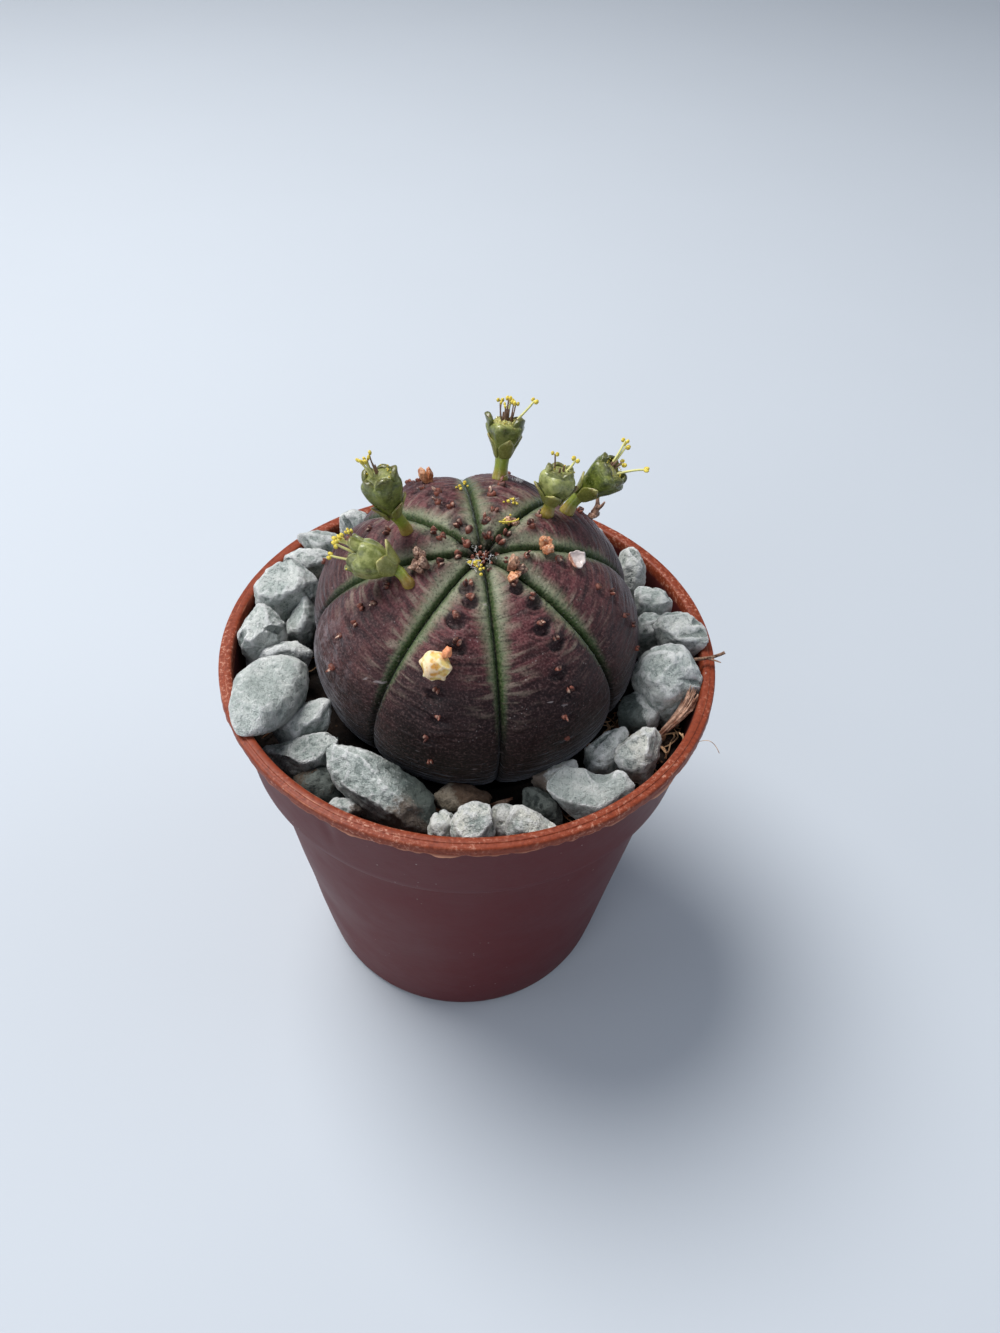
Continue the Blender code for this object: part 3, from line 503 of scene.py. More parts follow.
def makePot():
    rings = [(16.4, 2.5), (innerWall(2.5) - 0.5, 2.5), (innerWall(2.5), 3.0)]
    rings += ringsBetween((innerWall(3), 3.5), (innerWall(38.4), 38.4), 4)
    rings += ringsBetween((innerWall(39), 39.3), (25.9, 48.6), 8) + pot["lip"]
    rings += ringsBetween((26.65, 48.4), (25.6, 39.0), 12) + pot["step"]
    rings += ringsBetween((24.2, 37.9), (19.6, 1.6), 14) + pot["foot"]
    piece = turnRings(rings, pot["sides"])
    points = getPoints(piece)
    radius = np.hypot(points[:, 0], points[:, 1])
    turn = np.arctan2(points[:, 1], points[:, 0])
    z = points[:, 2]
    circle = np.stack((np.cos(turn) * 30, np.sin(turn) * 30, z * 0 + 5), 1)

    # the blown wall is never quite round: slow waves and a few shallow dents
    wave = 0.10 * lumps(circle, 14, 3) + 0.05 * lumps(np.stack((*circle[:, :2].T, z), 1), 6, 8)
    wave *= easeStep(46, 20, z) * 0.9 + 0.25
    for angle, height, wide, tall, depth in pot["dents"]:
        across = np.radians(wrapped(np.degrees(turn) - angle)) * radius
        wave -= depth * bell(across / wide, (z - height) / tall)
    wave = np.where(z > 2.6, wave, 0)
    points[:, :2] *= (1 + np.where(z < 48.6, wave, wave * 0.3) / radius)[:, None]

    # ragged flash along the lip's lower edge, and small knocks on top
    underLip = (np.abs(radius - 27.43) < 0.075) & (z < 49.05) & (z > 48.8)
    rag = 0.30 + 0.5 * lumps(circle, 0.8, 31, 2)
    rag = rag + 1.3 * np.clip(1.7 * lumps(circle, 3.2, 21, 2) - 0.25, 0, 1)
    drop = np.where(underLip, np.clip(rag, 0, 1) * pot["burrDrop"], 0)
    points[:, 2] -= drop
    points[:, :2] *= (1 + 0.45 * drop / 27.5)[:, None]
    points[:, 2] -= np.abs(0.06 * lumps(circle, 2.2, 44, 2) * bell((z - 49.9) / 0.25))
    setPoints(piece, points)

    innerSide = radius < np.interp(z, (0, 38.4, 39, 50), (19, 23.9, 25.3, 26.3))
    paint(piece, "inside", easeStep(49.4, 48.0, z) * (radius < 26.3) * innerSide)
    # thin painted highlights along the lip's three crisp corners, broken up by noise, go in the same layer as the
    # flash
    corners = ((27.42, 49.80), (26.80, 49.98), (26.12, 49.90))
    corner = np.max([bell(np.hypot(radius - edge, z - height) / 0.08) for edge, height in corners], axis=0)
    corner *= 0.10 + 0.55 * np.clip(1.8 * lumps(circle, 2.5, 71, 3) + 0.35, 0, 1)
    paint(piece, "burr", np.where(underLip, 0.25 + 0.75 * drop / pot["burrDrop"], 0) + corner)
    paint(piece, "lip", easeStep(48.55, 48.95, z))

    # drain holes and notches
    cutters = []
    count, reach, size = pot["holes"]
    for number in range(count):
        cutters.append(add(bpy.ops.mesh.primitive_cylinder_add, vertices=40, radius=size, depth=6,
                           location=roundTo(2 * math.pi * (number + 0.25) / count, reach, 2)))
    count, reach, size = pot["notches"]
    for number in range(count):
        angle = math.pi * (0.25 + number / 2)
        cutters.append(add(bpy.ops.mesh.primitive_cube_add, size=1, location=roundTo(angle, reach),
                           rotation=(0, 0, angle), scale=size))
    for cutter in cutters:
        applyPlace(cutter)
    cutter = joinPieces(cutters)
    modify(piece, "BOOLEAN", operation="DIFFERENCE", object=cutter, solver="EXACT")
    throwAway(cutter)

    finish = Finish("potPlastic", 0.5, 0.22)
    cloud, grain = finish.noise(16, 4, 0.6), finish.noise(0.5, 3, 0.6)
    onLip, inside = finish.layer("lip"), finish.layer("inside")
    lip = finish.blend(cloud, *pot["lipColours"])
    lip = finish.blend(finish.patches(0.45, 0.50, 0.36, 3, 0.7) * 0.45, lip, (78, 28, 18))
    finish.colour = finish.blend(onLip, finish.blend(cloud, *pot["bodyColours"]), lip)
    # pale plastic flash under the lip, and the painted highlights on the lip's corners
    finish.coat(finish.between(finish.layer("burr"), 0.1, 1.0, 0, 0.8), (222, 160, 128))
    worn = finish.patches(0.45, 0.52, 0.68, 3, 0.7) * finish.patches(8, 0.38, 0.60)
    finish.coat(onLip * worn * 0.62, (206, 156, 134))
    # the inner wall below the lip is painted darker: an even painted shade, with patches of soil stain
    insideDarkening = finish.patches(3.5, 0.35, 0.6, 4, 0.65)
    finish.coat(inside * (insideDarkening * 0.35 + 0.45), (44, 26, 22))
    dust = finish.dots(1.3, 0.10, 0.03) * finish.patches(7, 0.5, 0.66)
    finish.coat(dust * 0.5, (205, 190, 180))
    finish.coat(finish.between(grain, 0.3, 0.7, 0, 0.16), (72, 30, 28))
    finish.show(finish.relief(grain, 0.012, finish.relief(cloud, 0.15)),
                finish.between(cloud, 0.3, 0.7, 0.44, 0.56) + inside * 0.2)
    finishPiece(piece, "plasticPot", finish, "pot", 38)


globe = {
    "centre": (0.6, 1.0, 51.1),
    "radius": 18.15,
    "halfHeight": 15.2,
    "meridian": 16.8,  # mean radius along a rib
    "leanRight": 2.2,
    "leanFront": 14.8,
    "grooves": (-77.5, -29.0, 17.5, 58.2, 101.8, 147.2, 188.2, 235.4),
    "slit": (0.45, 0.22),  # depth and half width of the sharp line
    "dip": (0.90, 1.5),  # depth of the crease and how far its shoulders reach
    "columnsPerRib": 56,
    "rings": 178,
    # for each rib: its tubercles' azimuth near the top and low down, how dark their patches are, latitudes
    "tubercles": (
        (-102, -102, 1.0, (77, 73, 66, 58, 41, 32, 22, 10)),
        (-40, -56, 1.0, (75, 68, 60, 53, 44, 35, 26, 15)),
        (5, -10, 0.4, (76, 65, 49, 42, 33, 25, 16)),
        (44, 47, 0.45, (83, 79, 70, 64, 40, 33, 25, 17)),
        (85, 84, 0.6, (84, 78, 73, 64, 56, 39, 31, 23, 15)),
        (128, 121, 0.7, (81, 77, 69, 64, 59, 51, 40, 32, 24, 16)),
        (159, 168, 0.6, (84, 76, 72, 56, 47, 38, 29, 20)),
        (200, 214, 0.5, (82, 76, 57, 51, 46, 41, 33, 21)),
    ),
    "purple": ((55, 29, 30), (81, 46, 46)),
    "margin": ((84, 98, 66), (134, 142, 114)),
    "groove": ((22, 22, 17), (50, 74, 30)),  # low down, near the top
}
globeSize = np.array((globe["radius"], globe["radius"], globe["halfHeight"]))


def plantTurn():
    z = Vector((math.sin(math.radians(globe["leanRight"])), -math.sin(math.radians(globe["leanFront"])), 0))
    z.z = math.sqrt(1 - z.x ** 2 - z.y ** 2)
    x = Vector((0, 1, 0)).cross(z).normalized()
    return Matrix((x, z.cross(x), z)).transposed()


plantAxes = plantTurn()
plantMatrix = Matrix.Translation(globe["centre"]) @ plantAxes.to_4x4()


def grooveAway(azimuth, latitude):
    # distance in millimetres to the nearest groove
    nearest = np.min([np.abs(wrapped(azimuth - groove)) for groove in globe["grooves"]], axis=0)
    return np.radians(nearest) * globe["radius"] * np.maximum(np.cos(np.radians(latitude)), 0)


def skinPlaces(azimuth, latitude):
    # the skin's points and outward directions, in the plant's own axes
    azimuth, latitude = (np.atleast_1d(np.asarray(angle, float)) for angle in (azimuth, latitude))
    a, b = np.radians(azimuth), np.radians(latitude)
    ball = np.stack((np.cos(b) * np.cos(a), np.cos(b) * np.sin(a), np.sin(b)), 1)
    normals = ball / globeSize
    normals /= np.linalg.norm(normals, axis=1)[:, None]
    away = grooveAway(azimuth, latitude)
    fade = np.clip((latitude + 62) / 62, 0, 1)
    slit = globe["slit"][0] * bell(away / globe["slit"][1])
    dip = globe["dip"][0] * np.exp(-away / globe["dip"][1])
    return ball * globeSize - normals * (fade * (slit + dip))[:, None], normals


def onSkin(azimuth, latitude, lift=0.0):
    # a place on the skin and a turn whose Z stands off it, Y up the rib
    point, normal = skinPlaces(azimuth, latitude)
    place = plantMatrix @ (Vector(point[0]) + Vector(normal[0]) * lift)
    out = plantAxes @ Vector(normal[0])
    up = plantMatrix @ Vector(skinPlaces(azimuth, latitude + 0.5)[0][0]) - plantMatrix @ Vector(point[0])
    return place, upright((up - out * up.dot(out)).normalized(), out)


def tubercles():
    # azimuth, latitude and patch darkness of every tubercle, each a little to one side of its crest
    found = []
    for top, low, dark, latitudes in globe["tubercles"]:
        for number, latitude in enumerate(latitudes):
            side = 1.2 if number % 2 else -1.2
            azimuth = top + (low - top) * (80 - latitude) / 65
            found.append((azimuth + side / max(math.cos(math.radians(latitude)), 0.3), latitude, dark))
    return found


def mapRibs(piece, columnOf, columnCount, azimuth, latitude):
    # a map of each rib for the stripes: off the crest, and up the meridian, in tenths of a metre
    pointOf = readRows(piece.data.loops, "vertex_index", 1, np.int32)[:, 0]
    starts = readRows(piece.data.polygons, "loop_start", 1, np.int32)[:, 0]
    faceOf = np.repeat(np.arange(len(starts)), readRows(piece.data.polygons, "loop_total", 1, np.int32)[:, 0])
    lowest = np.minimum.reduceat(columnOf[pointOf], starts)
    highest = np.maximum.reduceat(columnOf[pointOf], starts)
    lowest = np.where(highest - lowest > columnCount / 2, highest, lowest)
    ribOf = (lowest // globe["columnsPerRib"])[faceOf]
    grooves = np.array(globe["grooves"])
    spans = (np.roll(grooves, -1) - grooves) % 360
    offset = (azimuth[pointOf] - grooves[ribOf]) % 360
    offset = np.where(offset > 300, 0, offset)
    offset = np.minimum(offset, spans[ribOf]) - spans[ribOf] / 2
    up = np.radians(latitude[pointOf])
    across = np.radians(offset) * globe["radius"] * np.cos(up)
    places = np.stack((across / 100 + ribOf * 0.3, up * globe["meridian"] / 100), 1)
    layer = piece.data.uv_layers.active or piece.data.uv_layers.new(name="ribMap")
    layer.name = "ribMap"
    layer.data.foreach_set("uv", places.astype(np.float32).ravel())


def makeSkin():
    columns = []
    for number, groove in enumerate(globe["grooves"]):
        span = (globe["grooves"][(number + 1) % 8] - groove) % 360
        even = np.arange(globe["columnsPerRib"]) / globe["columnsPerRib"]
        columns += list(groove + span * (even - 0.105 * np.sin(2 * np.pi * even)))  # closer near the grooves
    columns = np.array(columns)
    rings = globe["rings"]
    piece = add(bpy.ops.mesh.primitive_uv_sphere_add, segments=len(columns), ring_count=rings, radius=1)
    x, y, z = getPoints(piece).T
    ringOf = np.round((90 - np.degrees(np.arcsin(np.clip(z, -1, 1)))) / 180 * rings).astype(int)
    columnOf = np.round(np.degrees(np.arctan2(y, x)) / 360 * len(columns)).astype(int) % len(columns)
    latitudes = np.concatenate((np.linspace(90, -36, rings - 15), np.linspace(-36, -90, 17)[1:]))
    latitude, azimuth = latitudes[ringOf], columns[columnOf]
    place, normal = skinPlaces(azimuth, latitude)
    away = grooveAway(azimuth, latitude)

    # tubercle mounds, the dark folded hollows under them
    raised, patch, fold = np.zeros((3, len(place)))
    for az, lat, dark in tubercles():
        near = np.abs(latitude - lat) < 13
        across = np.radians(wrapped(azimuth[near] - az)) * globe["radius"] * np.cos(np.radians(latitude[near]))
        along = np.radians(latitude[near] - lat) * globe["meridian"]
        strength = dark * easeStep(4, 42, lat)
        size = 1.0 if lat < 70 else 0.8
        raised[near] += 0.30 * bell(across / 0.8, (along - 0.1) / 0.62) * (0.5 + 0.5 * strength)
        raised[near] -= 0.50 * strength * bell(across / (1.0 * size), (along + 0.90) / 0.48)
        ring = np.sqrt((across / (1.36 * size)) ** 2 + ((along + 0.42) / (1.12 * size)) ** 2)
        lower = strength * easeStep(-0.3, -1.0, along)
        for wide, high in ((1.0, 0.28), (1.5, 0.17), (1.95, 0.10)):
            crest, trough = lower * bell((ring - wide) / 0.16), lower * bell((ring - wide + 0.26) / 0.13)
            raised[near] += high * crest
            # fold follows the rings' crests and troughs, for a painted highlight and a painted shade
            fold[near] += high / 0.28 * (0.6 * crest - trough)
        ring = np.sqrt((across / (1.20 * size)) ** 2 + ((along + 0.50) / (1.0 * size)) ** 2)
        patch[near] = np.maximum(patch[near], (0.25 + 0.75 * strength) * np.exp(-ring ** 4))
    # wrinkles across the ribs, and the sunk crown
    rib = np.sum([easeStep(g - 0.01, g + 0.01, azimuth) for g in globe["grooves"]], axis=0)
    unrolled = np.stack((away * 0.22, latitude * 0.293 + 0.35 * lumps(place, 3.0, 8), rib * 9), 1)
    wrinkle = 0.12 * lumps(unrolled, 0.60, 12, 2) * easeStep(0.3, 1.2, away) * easeStep(0, 34, latitude)
    wrinkle *= 0.5 + 0.8 * np.clip(0.5 + lumps(place, 3.5, 33), 0, 1)
    raised += wrinkle + 0.05 * lumps(place, 2.2, 4, 2) + 0.014 * lumps(place, 0.55, 9)
    fromTop = np.radians(90 - latitude) * 16.5
    raised -= 0.75 * bell(fromTop / 1.7)
    raised += 0.22 * bell((fromTop - 3.6) / 1.6) * easeStep(0.5, 1.8, away)
    place = place + normal * raised[:, None]
    setPoints(piece, place @ np.array(plantAxes).T + np.array(globe["centre"]))
    fromFront, fromLeft = wrapped(azimuth + 78), wrapped(azimuth + 158)
    # the front ribs' lower parts get a painted shade, and the left edge a painted sheen
    for name, values in {
            "away": away, "latitude": latitude, "patch": patch, "fold": np.clip(0.5 + 0.5 * fold, 0, 1),
            "crown": np.exp(-(fromTop / 1.9) ** 4), "dusty": bell(fromLeft / 20, (latitude - 12) / 20),
            "deep": np.exp(-(fromFront / 52) ** 4) * easeStep(66, 34, latitude)}.items():
        paint(piece, name, values)
    mapRibs(piece, columnOf, len(columns), azimuth, latitude)

    # the root goes on down from the globe's foot
    root = add(bpy.ops.mesh.primitive_cone_add, vertices=24, radius1=1.3, radius2=3.9, depth=13.5)
    root.data.transform(plantMatrix @ Matrix.Translation((0, 0, -globe["halfHeight"] - 5.2)))
    points = getPoints(root)
    setPoints(root, points + 0.15 * np.stack([lumps(points, 2, n) for n in (1, 2, 3)], 1))
    finishPiece(joinPieces([piece, root]), "plantSkin", skinFinish(), "plant")


def skinFinish():
    finish = Finish("purpleSkin", 0.5, 0.26, Sheen_Weight=0.26, Sheen_Roughness=0.22,
                    Sheen_Tint=(0.72, 0.78, 0.90, 1))
    away, latitude, fold = finish.layer("away"), finish.layer("latitude"), finish.layer("fold")
    cloud, grain = finish.noise(4.5, 3, 0.6), finish.noise(0.24, 3, 0.65)
    finish.colour = finish.blend(finish.between(cloud, 0.34, 0.66), *globe["purple"])
    # painted shade on the lower front ribs
    finish.coat(finish.layer("deep") * 0.84, (20, 9, 11))
    wine = finish.between(latitude, 34, 62) * finish.patches(1.5, 0.3, 0.62, 3, 0.6)
    finish.coat(wine * 0.6, (116, 62, 66))
    # transverse bands, darker and paler, from the grooves inwards
    ribMap = finish.node("ShaderNodeUVMap", {"uv_map": "ribMap"}, {})
    bands = finish.noise(2.4, 1.6, 0.45, 0.4, finish.moved(ribMap, Scale=(0.075, 0.38, 1)))
    finish.coat(finish.between(bands, 0.50, 0.34) * 0.6, (32, 16, 19))
    stripe = finish.between(bands, 0.49, 0.66) * finish.between(cloud, 0.38, 0.56)
    band = finish.between(latitude, 20, 50) * finish.between(latitude, 84, 70)
    finish.coat(stripe * finish.between(away, 5.0, 0.9) * band * 0.85, (132, 120, 106))
    # the low part is darker and more olive: a painted shade under the globe's bulge, over a more olive skin
    finish.coat(finish.between(latitude + (cloud - 0.5) * 26, 34, -4) * 0.9, (26, 23, 17))
    # pale grey-green margins that narrow downwards, then the green groove and its dark line
    wavy = away + (finish.noise(1.1, 3, 0.6) - 0.5) * 0.7 + (bands - 0.5) * 1.1
    margin = finish.between(wavy / finish.between(latitude, 14, 80, 0.32, 2.1), 1.15, 0.2)
    margin = margin * finish.between(latitude, -8, 34)
    edging = finish.blend(cloud, *globe["margin"])
    edging = finish.blend(finish.between(latitude, 4, 52), (40, 36, 34), edging)
    edging = finish.blend(finish.between(latitude, 52, 78, 0, 0.5), edging, (166, 170, 146))
    finish.coat(margin * finish.between(cloud, 0.25, 0.6, 0.6, 0.9), edging)
    green = finish.between(away + (finish.noise(0.8, 2) - 0.5) * 0.3, 0.88, 0.16)
    upper = finish.between(latitude, 14, 50)
    finish.coat(green * 0.9, finish.blend(upper, *globe["groove"]))
    finish.coat(finish.between(away, 0.13, 0.04) * 0.85, finish.blend(upper, (7, 8, 6), (22, 34, 16)))
    # dark sunk patches and the dark crown
    ragged = finish.between(finish.layer("patch") + (finish.noise(0.7, 3, 0.6) - 0.5) * 0.5, 0.22, 0.8)
    finish.coat(ragged * 0.85, (36, 18, 22))
    # painted shade in the fold troughs under each tubercle, and a painted highlight on their crests
    finish.coat(finish.between(fold, 0.46, 0.12, 0, 0.85), (22, 10, 13))
    finish.coat(finish.between(fold, 0.54, 0.85, 0, 0.2), (150, 108, 104))
    finish.coat(finish.layer("crown") * 0.9, (20, 15, 14))
    # velvet grain, tiny pale dots, scratches, and a painted sheen at the left edge
    finish.coat(finish.between(grain, 0.48, 0.70, 0, 0.25), (150, 122, 118))
    finish.coat(finish.between(grain, 0.5, 0.32, 0, 0.6), (20, 13, 15))
    finish.coat(finish.dots(0.55, 0.17, 0.07) * finish.patches(2.6, 0.46, 0.62) * 0.4, (176, 168, 164))
    turned = finish.moved(finish.place, Rotation=(0.5, 0.7, 0.9), Scale=(0.22, 1.3, 1.3))
    scratch = finish.between(finish.noise(0.9, 3, place=turned), 0.68, 0.74)
    finish.coat(scratch * finish.patches(5, 0.5, 0.62) * 0.5, (170, 160, 160))
    finish.coat(finish.patches(1.4, 0.44, 0.66, 5, 0.75) * finish.layer("dusty") * 0.6, (146, 136, 140))
    finish.show(finish.relief(bands, 0.20, finish.relief(grain, 0.08)),
                finish.between(grain, 0.3, 0.7, 0.42, 0.60))
    return finish


scales = {
    "lift": 0.22,
    "size": (0.95, 1.3),
    "crownBuds": 16,
    "crownSize": (0.7, 1.1),
    "colours": ((50, 24, 22), (124, 66, 50)),
    "paleTip": (206, 176, 156),
}


def makeTubercleScales():
    # three models: a plain wart, a split pair, and a wart with a flake
    chance = random.Random(5)
    wart = lump((0.31, 0.25, 0.32), 3, 0.5, 0.9)
    points = getPoints(wart)
    points[:, 2] -= 0.12 * bell(points[:, 0] / 0.10, (points[:, 1] - 0.02) / 0.10) * (points[:, 2] > 0)
    setPoints(wart, points)
    # the wart's top is painted pale: partly a pale tip, partly a painted highlight
    paint(wart, "pale", easeStep(0.1, 0.3, points[:, 2]) * 0.5)
    halves = []
    for side in (-1, 1):
        half = lump((0.16, 0.28, 0.33), 7 + side, 0.45, 0.8)
        half.data.transform(Matrix.Translation((0.15 * side, 0, 0.03)) @ Matrix.Rotation(0.35 * side, 4, "Y"))
        paint(half, "pale", easeStep(0.12, 0.34, getPoints(half)[:, 2]) * 0.6)
        halves.append(half)
    pair = joinPieces(halves)
    flake = lump((0.11, 0.05, 0.30), 11, 0.3, 0.6)
    flake.data.transform(Matrix.Translation((0.08, -0.05, 0.36)) @ Matrix.Rotation(0.5, 4, "X"))
    paint(flake, "pale", 1.0)
    flaked = joinPieces([copyTo(wart), flake])
    copies = []
    for az, lat, dark in tubercles():
        model = chance.choice((wart, pair, pair, flaked))
        size = chance.uniform(*scales["size"]) * (1.25 if lat > 55 else 1.0 if lat > 20 else 0.8)
        spin = Matrix.Rotation(chance.uniform(-0.5, 0.5), 4, "Z")
        spin = spin @ Matrix.Rotation(chance.uniform(0, 0.4), 4, "X")
        copies.append(copyTo(model, placed(*onSkin(az, lat, scales["lift"]), size) @ spin))
    # small dark buds and scales crowd round the crown
    for number in range(scales["crownBuds"]):
        size = chance.uniform(*scales["crownSize"])
        home = onSkin(number * 137.5, 89 - 0.55 * number, -0.35)
        copies.append(copyTo(chance.choice((wart, pair)), placed(*home, size, 1.2)))
    throwAway(wart, pair, flaked)
    finish = Finish("tubercleScale", 0.55, 0.4)
    finish.colour = finish.blend(finish.patches(0.9, 0.36, 0.62, 3, 0.6), *scales["colours"])
    # pale tips and a painted highlight on the tops, and the pale flake
    finish.coat(finish.layer("pale") * finish.patches(0.35, 0.48, 0.66), scales["paleTip"])
    finish.show(finish.relief(finish.noise(0.2, 2), 0.03))
    finishPiece(joinPieces(copies), "tubercleScales", finish)


# All tables go by the stone's number. Directions are right, up and near, as seen from the front.
gravel = {
    "grain": 0.17,  # how fine the stones' surface is modelled
    "grow": 0.30,
    "edge": 0.10,
    "calm": {8: 24, 21: 2},  # smoother stones, and how often their shape is evened
    "warm": (14, 15, 16, 17, 18, 20, 23),
    "paler": (12, 20, 24),  # shown in the pale finish, whatever their slot
    # where a stone is darker or stained brown: how far right and up, where the change starts and ends,
    # and how strong it is
    "shade": {
        2: (0.2, 0.8, -0.2, 0.8, 0.4), 6: (0.7, -0.4, 0.4, 2.0, 0.8), 9: (0.7, -0.7, 0.8, 2.4, 0.5),
        13: (0.75, 0.66, 0.2, 3.4, 1.0), 14: (0.9, 0.3, 0.0, 2.2, 0.3), 20: (0.7, -0.7, 0.6, 1.6, 0.8),
        21: (-0.9, -0.3, 3.0, 4.4, 0.35), 22: (-0.8, -0.2, 0.2, 2.0, 0.6), 24: (-0.9, -0.3, -1.0, 0.4, 1.3),
        25: (-0.8, -0.3, 1.6, 3.2, 0.5), 26: (-0.8, 0.4, 0.6, 2.4, 0.5),
    },
    "stain": {
        10: (0.4, -0.9, 0.6, 2.4, 0.6), 11: (-0.8, 0.2, 0.0, 1.8, 0.7), 12: (0.9, -0.5, -0.2, 1.2, 0.9),
        13: (0.75, -0.6, -0.6, 3.4, 0.9), 14: (0.8, 0.2, -1.2, 0.3, 0.9), 18: (0.1, -0.9, 0.4, 1.2, 0.8),
        20: (-1.0, -0.3, -0.8, 1.6, 0.9),
    },
    # corners drawn out of a stone: the way to them, and how far they go
    "corners": {
        2: ((-1.0, 0.3, 0.3, 0.8), (1.0, 0.2, 0.3, 0.9)),
        3: ((-1.0, 0.2, 0.3, 0.7), (1.0, 0.1, 0.3, 0.8)),
        4: ((0.2, 1.0, 0.3, 0.8), (1.0, 0.2, 0.2, 0.9), (-0.8, -0.4, 0.2, 0.4)),
        5: ((-0.3, 1.0, 0.3, 0.6), (1.0, 0.4, 0.2, 0.8), (0.2, -1.0, 0.3, 0.6)),
        6: ((0.6, 1.0, 0.3, 0.8), (-0.5, -1.0, 0.3, 0.6)),
        7: ((-1.0, -0.5, 0.3, 0.8), (1.0, 0.5, 0.3, 0.6)),
        8: ((-0.8, -0.8, 0.3, 0.9), (0.5, 0.9, 0.3, 0.6)),
        9: ((0.8, 0.9, 0.3, 0.8), (-1.0, 0.0, 0.2, 0.7), (0.2, -1.0, 0.3, 0.6)),
        10: ((1.0, 0.8, 0.3, 1.0), (-0.9, 0.1, 0.2, 0.6), (0.0, -1.0, 0.3, 0.6)),
        11: ((-0.8, 0.7, 0.2, 0.7), (0.9, -0.6, 0.2, 0.5)),
        13: ((-0.85, 0.8, 0.3, 1.9), (1.0, -0.5, 0.1, 0.8), (0.3, -1.0, 0.3, 0.6)),
        14: ((0.9, 0.3, 0.3, 0.5), (-0.8, 0.5, 0.3, 0.5)),
        16: ((0.5, 0.9, 0.2, 0.5), (0.9, -0.5, 0.2, 0.4)),
        18: ((1.0, -0.3, 0.2, 0.8), (-0.4, 0.9, 0.2, 0.5)),
        19: ((-0.8, 0.7, 0.2, 0.7), (0.8, -0.9, 0.2, 0.7)),
        20: ((0.6, 0.9, 0.2, 0.5), (-0.9, 0.2, 0.2, 0.4)),
        21: ((1.0, 0.5, 0.2, 0.6), (-1.0, 0.15, 0.2, 0.6), (-0.5, 0.9, 0.2, 0.5)),
        22: ((0.3, 1.0, 0.2, 0.5),),
        23: ((0.55, 0.85, 0.2, 0.6), (0.1, -1.0, 0.2, 0.5), (-0.9, -0.2, 0.2, 0.4)),
        24: ((0.9, 0.5, 0.3, 0.6), (0.1, 1.0, 0.2, 0.5), (-0.9, 0.3, 0.2, 0.4)),
        25: ((1.0, 0.1, 0.2, 1.2), (-0.2, -1.0, 0.3, 0.6), (-0.7, 0.75, 0.3, 0.5), (0.35, 0.95, 0.2, 0.4)),
        26: ((-1.0, 0.15, 0.3, 1.1), (0.95, -0.15, 0.6, 1.3), (0.6, 0.8, 0.2, 0.4)),
        27: ((1.0, 0.1, 0.5, 0.7),),
        28: ((-0.7, 0.7, 0.2, 0.5), (0.9, -0.3, 0.3, 0.5)),
    },
    # broad flat faces: which way each looks, and how deep it is cut
    "faces": {
        4: ((-0.3, 0.35, 0.9, 0.9), (0.75, -0.2, 0.6, 0.7), (-0.4, -0.8, 0.5, 0.5)),
        5: ((-0.2, 0.3, 0.93, 0.8), (0.8, -0.3, 0.5, 0.6)),
        8: ((-0.15, 0.25, 0.96, 0.7),),
        9: ((0.0, 0.5, 0.87, 0.6), (0.6, -0.5, 0.6, 0.5)),
        10: ((0.1, 0.5, 0.85, 0.8), (-0.3, -0.7, 0.6, 0.6)),
        13: ((-0.3, 0.1, 0.95, 0.8), (0.5, 0.7, 0.5, 1.0), (-0.45, -0.75, 0.5, 0.9)),
        16: ((-0.2, 0.2, 0.96, 0.6), (0.7, -0.5, 0.5, 0.4)),
        18: ((0.2, 0.5, 0.85, 0.7), (-0.3, -0.5, 0.8, 0.5)),
        21: ((-0.12, 0.33, 0.94, 1.3), (-0.5, -0.8, -0.3, 0.9)),
        22: ((-0.2, 0.4, 0.9, 0.6), (0.7, -0.3, 0.6, 0.5)),
        23: ((-0.4, 0.1, 0.9, 0.8), (0.8, 0.1, 0.6, 0.6), (0.0, -0.8, 0.6, 0.4)),
        25: ((-0.45, 0.3, 0.84, 0.45), (0.4, -0.15, 0.9, 0.5), (0.75, 0.6, 0.3, 0.7), (-0.3, -0.85, 0.45, 0.8)),
        26: ((0.1, 0.35, 0.93, 0.8), (0.0, -0.9, 0.4, 0.7)),
        28: ((0.0, 0.4, 0.9, 0.6), (0.7, -0.5, 0.5, 0.5)),
    },
    # round bites: where the ball that takes them stands from the stone's middle, and its radius
    "bites": {16: ((2.4, 0.4, 1.2, 1.1),), 21: ((0.9, 3.3, 1.2, 1.5), (-0.9, 2.1, 2.0, 0.6))},
    # for each slot: pale and grey parts, what lies low, brown stains and how far they spread
    "colours": {
        "gravel_pale": ("paleGravel", (216, 219, 215), (178, 186, 182), (94, 107, 103), (88, 70, 56), 0.3),
        "gravel_dark": ("darkGravel", (104, 110, 106), (66, 72, 70), (30, 36, 36), (82, 66, 54), 0.6),
        "gravel_brown": ("brownGravel", (142, 132, 118), (92, 82, 72), (42, 38, 34), (74, 54, 42), 1.0),
    },
}
viewRight, viewUp, viewNear = np.array((1, 0, 0)), np.array((0, 0.725, 0.689)), np.array((0, -0.689, 0.725))


def seenWay(right, up, near):
    return viewRight * right + viewUp * up + viewNear * near


def softPush(past, soft):
    return (soft * np.logaddexp(0, np.clip(past / soft, -30, 60)))[:, None]


def cutFlat(points, way, reach, soft):
    return points - way * softPush(points @ way - reach, soft)


def shave(points, way, depth, soft):
    return cutFlat(points, way, np.max(points @ way) - depth, soft)


def breakOff(points, first, second, spot, soft):
    # takes away what lies beyond two slanting planes through a spot, which leaves a stepped break
    one, two = (points - spot) @ first, (points - spot) @ second
    return points - np.where((one < two)[:, None], first, second) * softPush(np.minimum(one, two), soft)


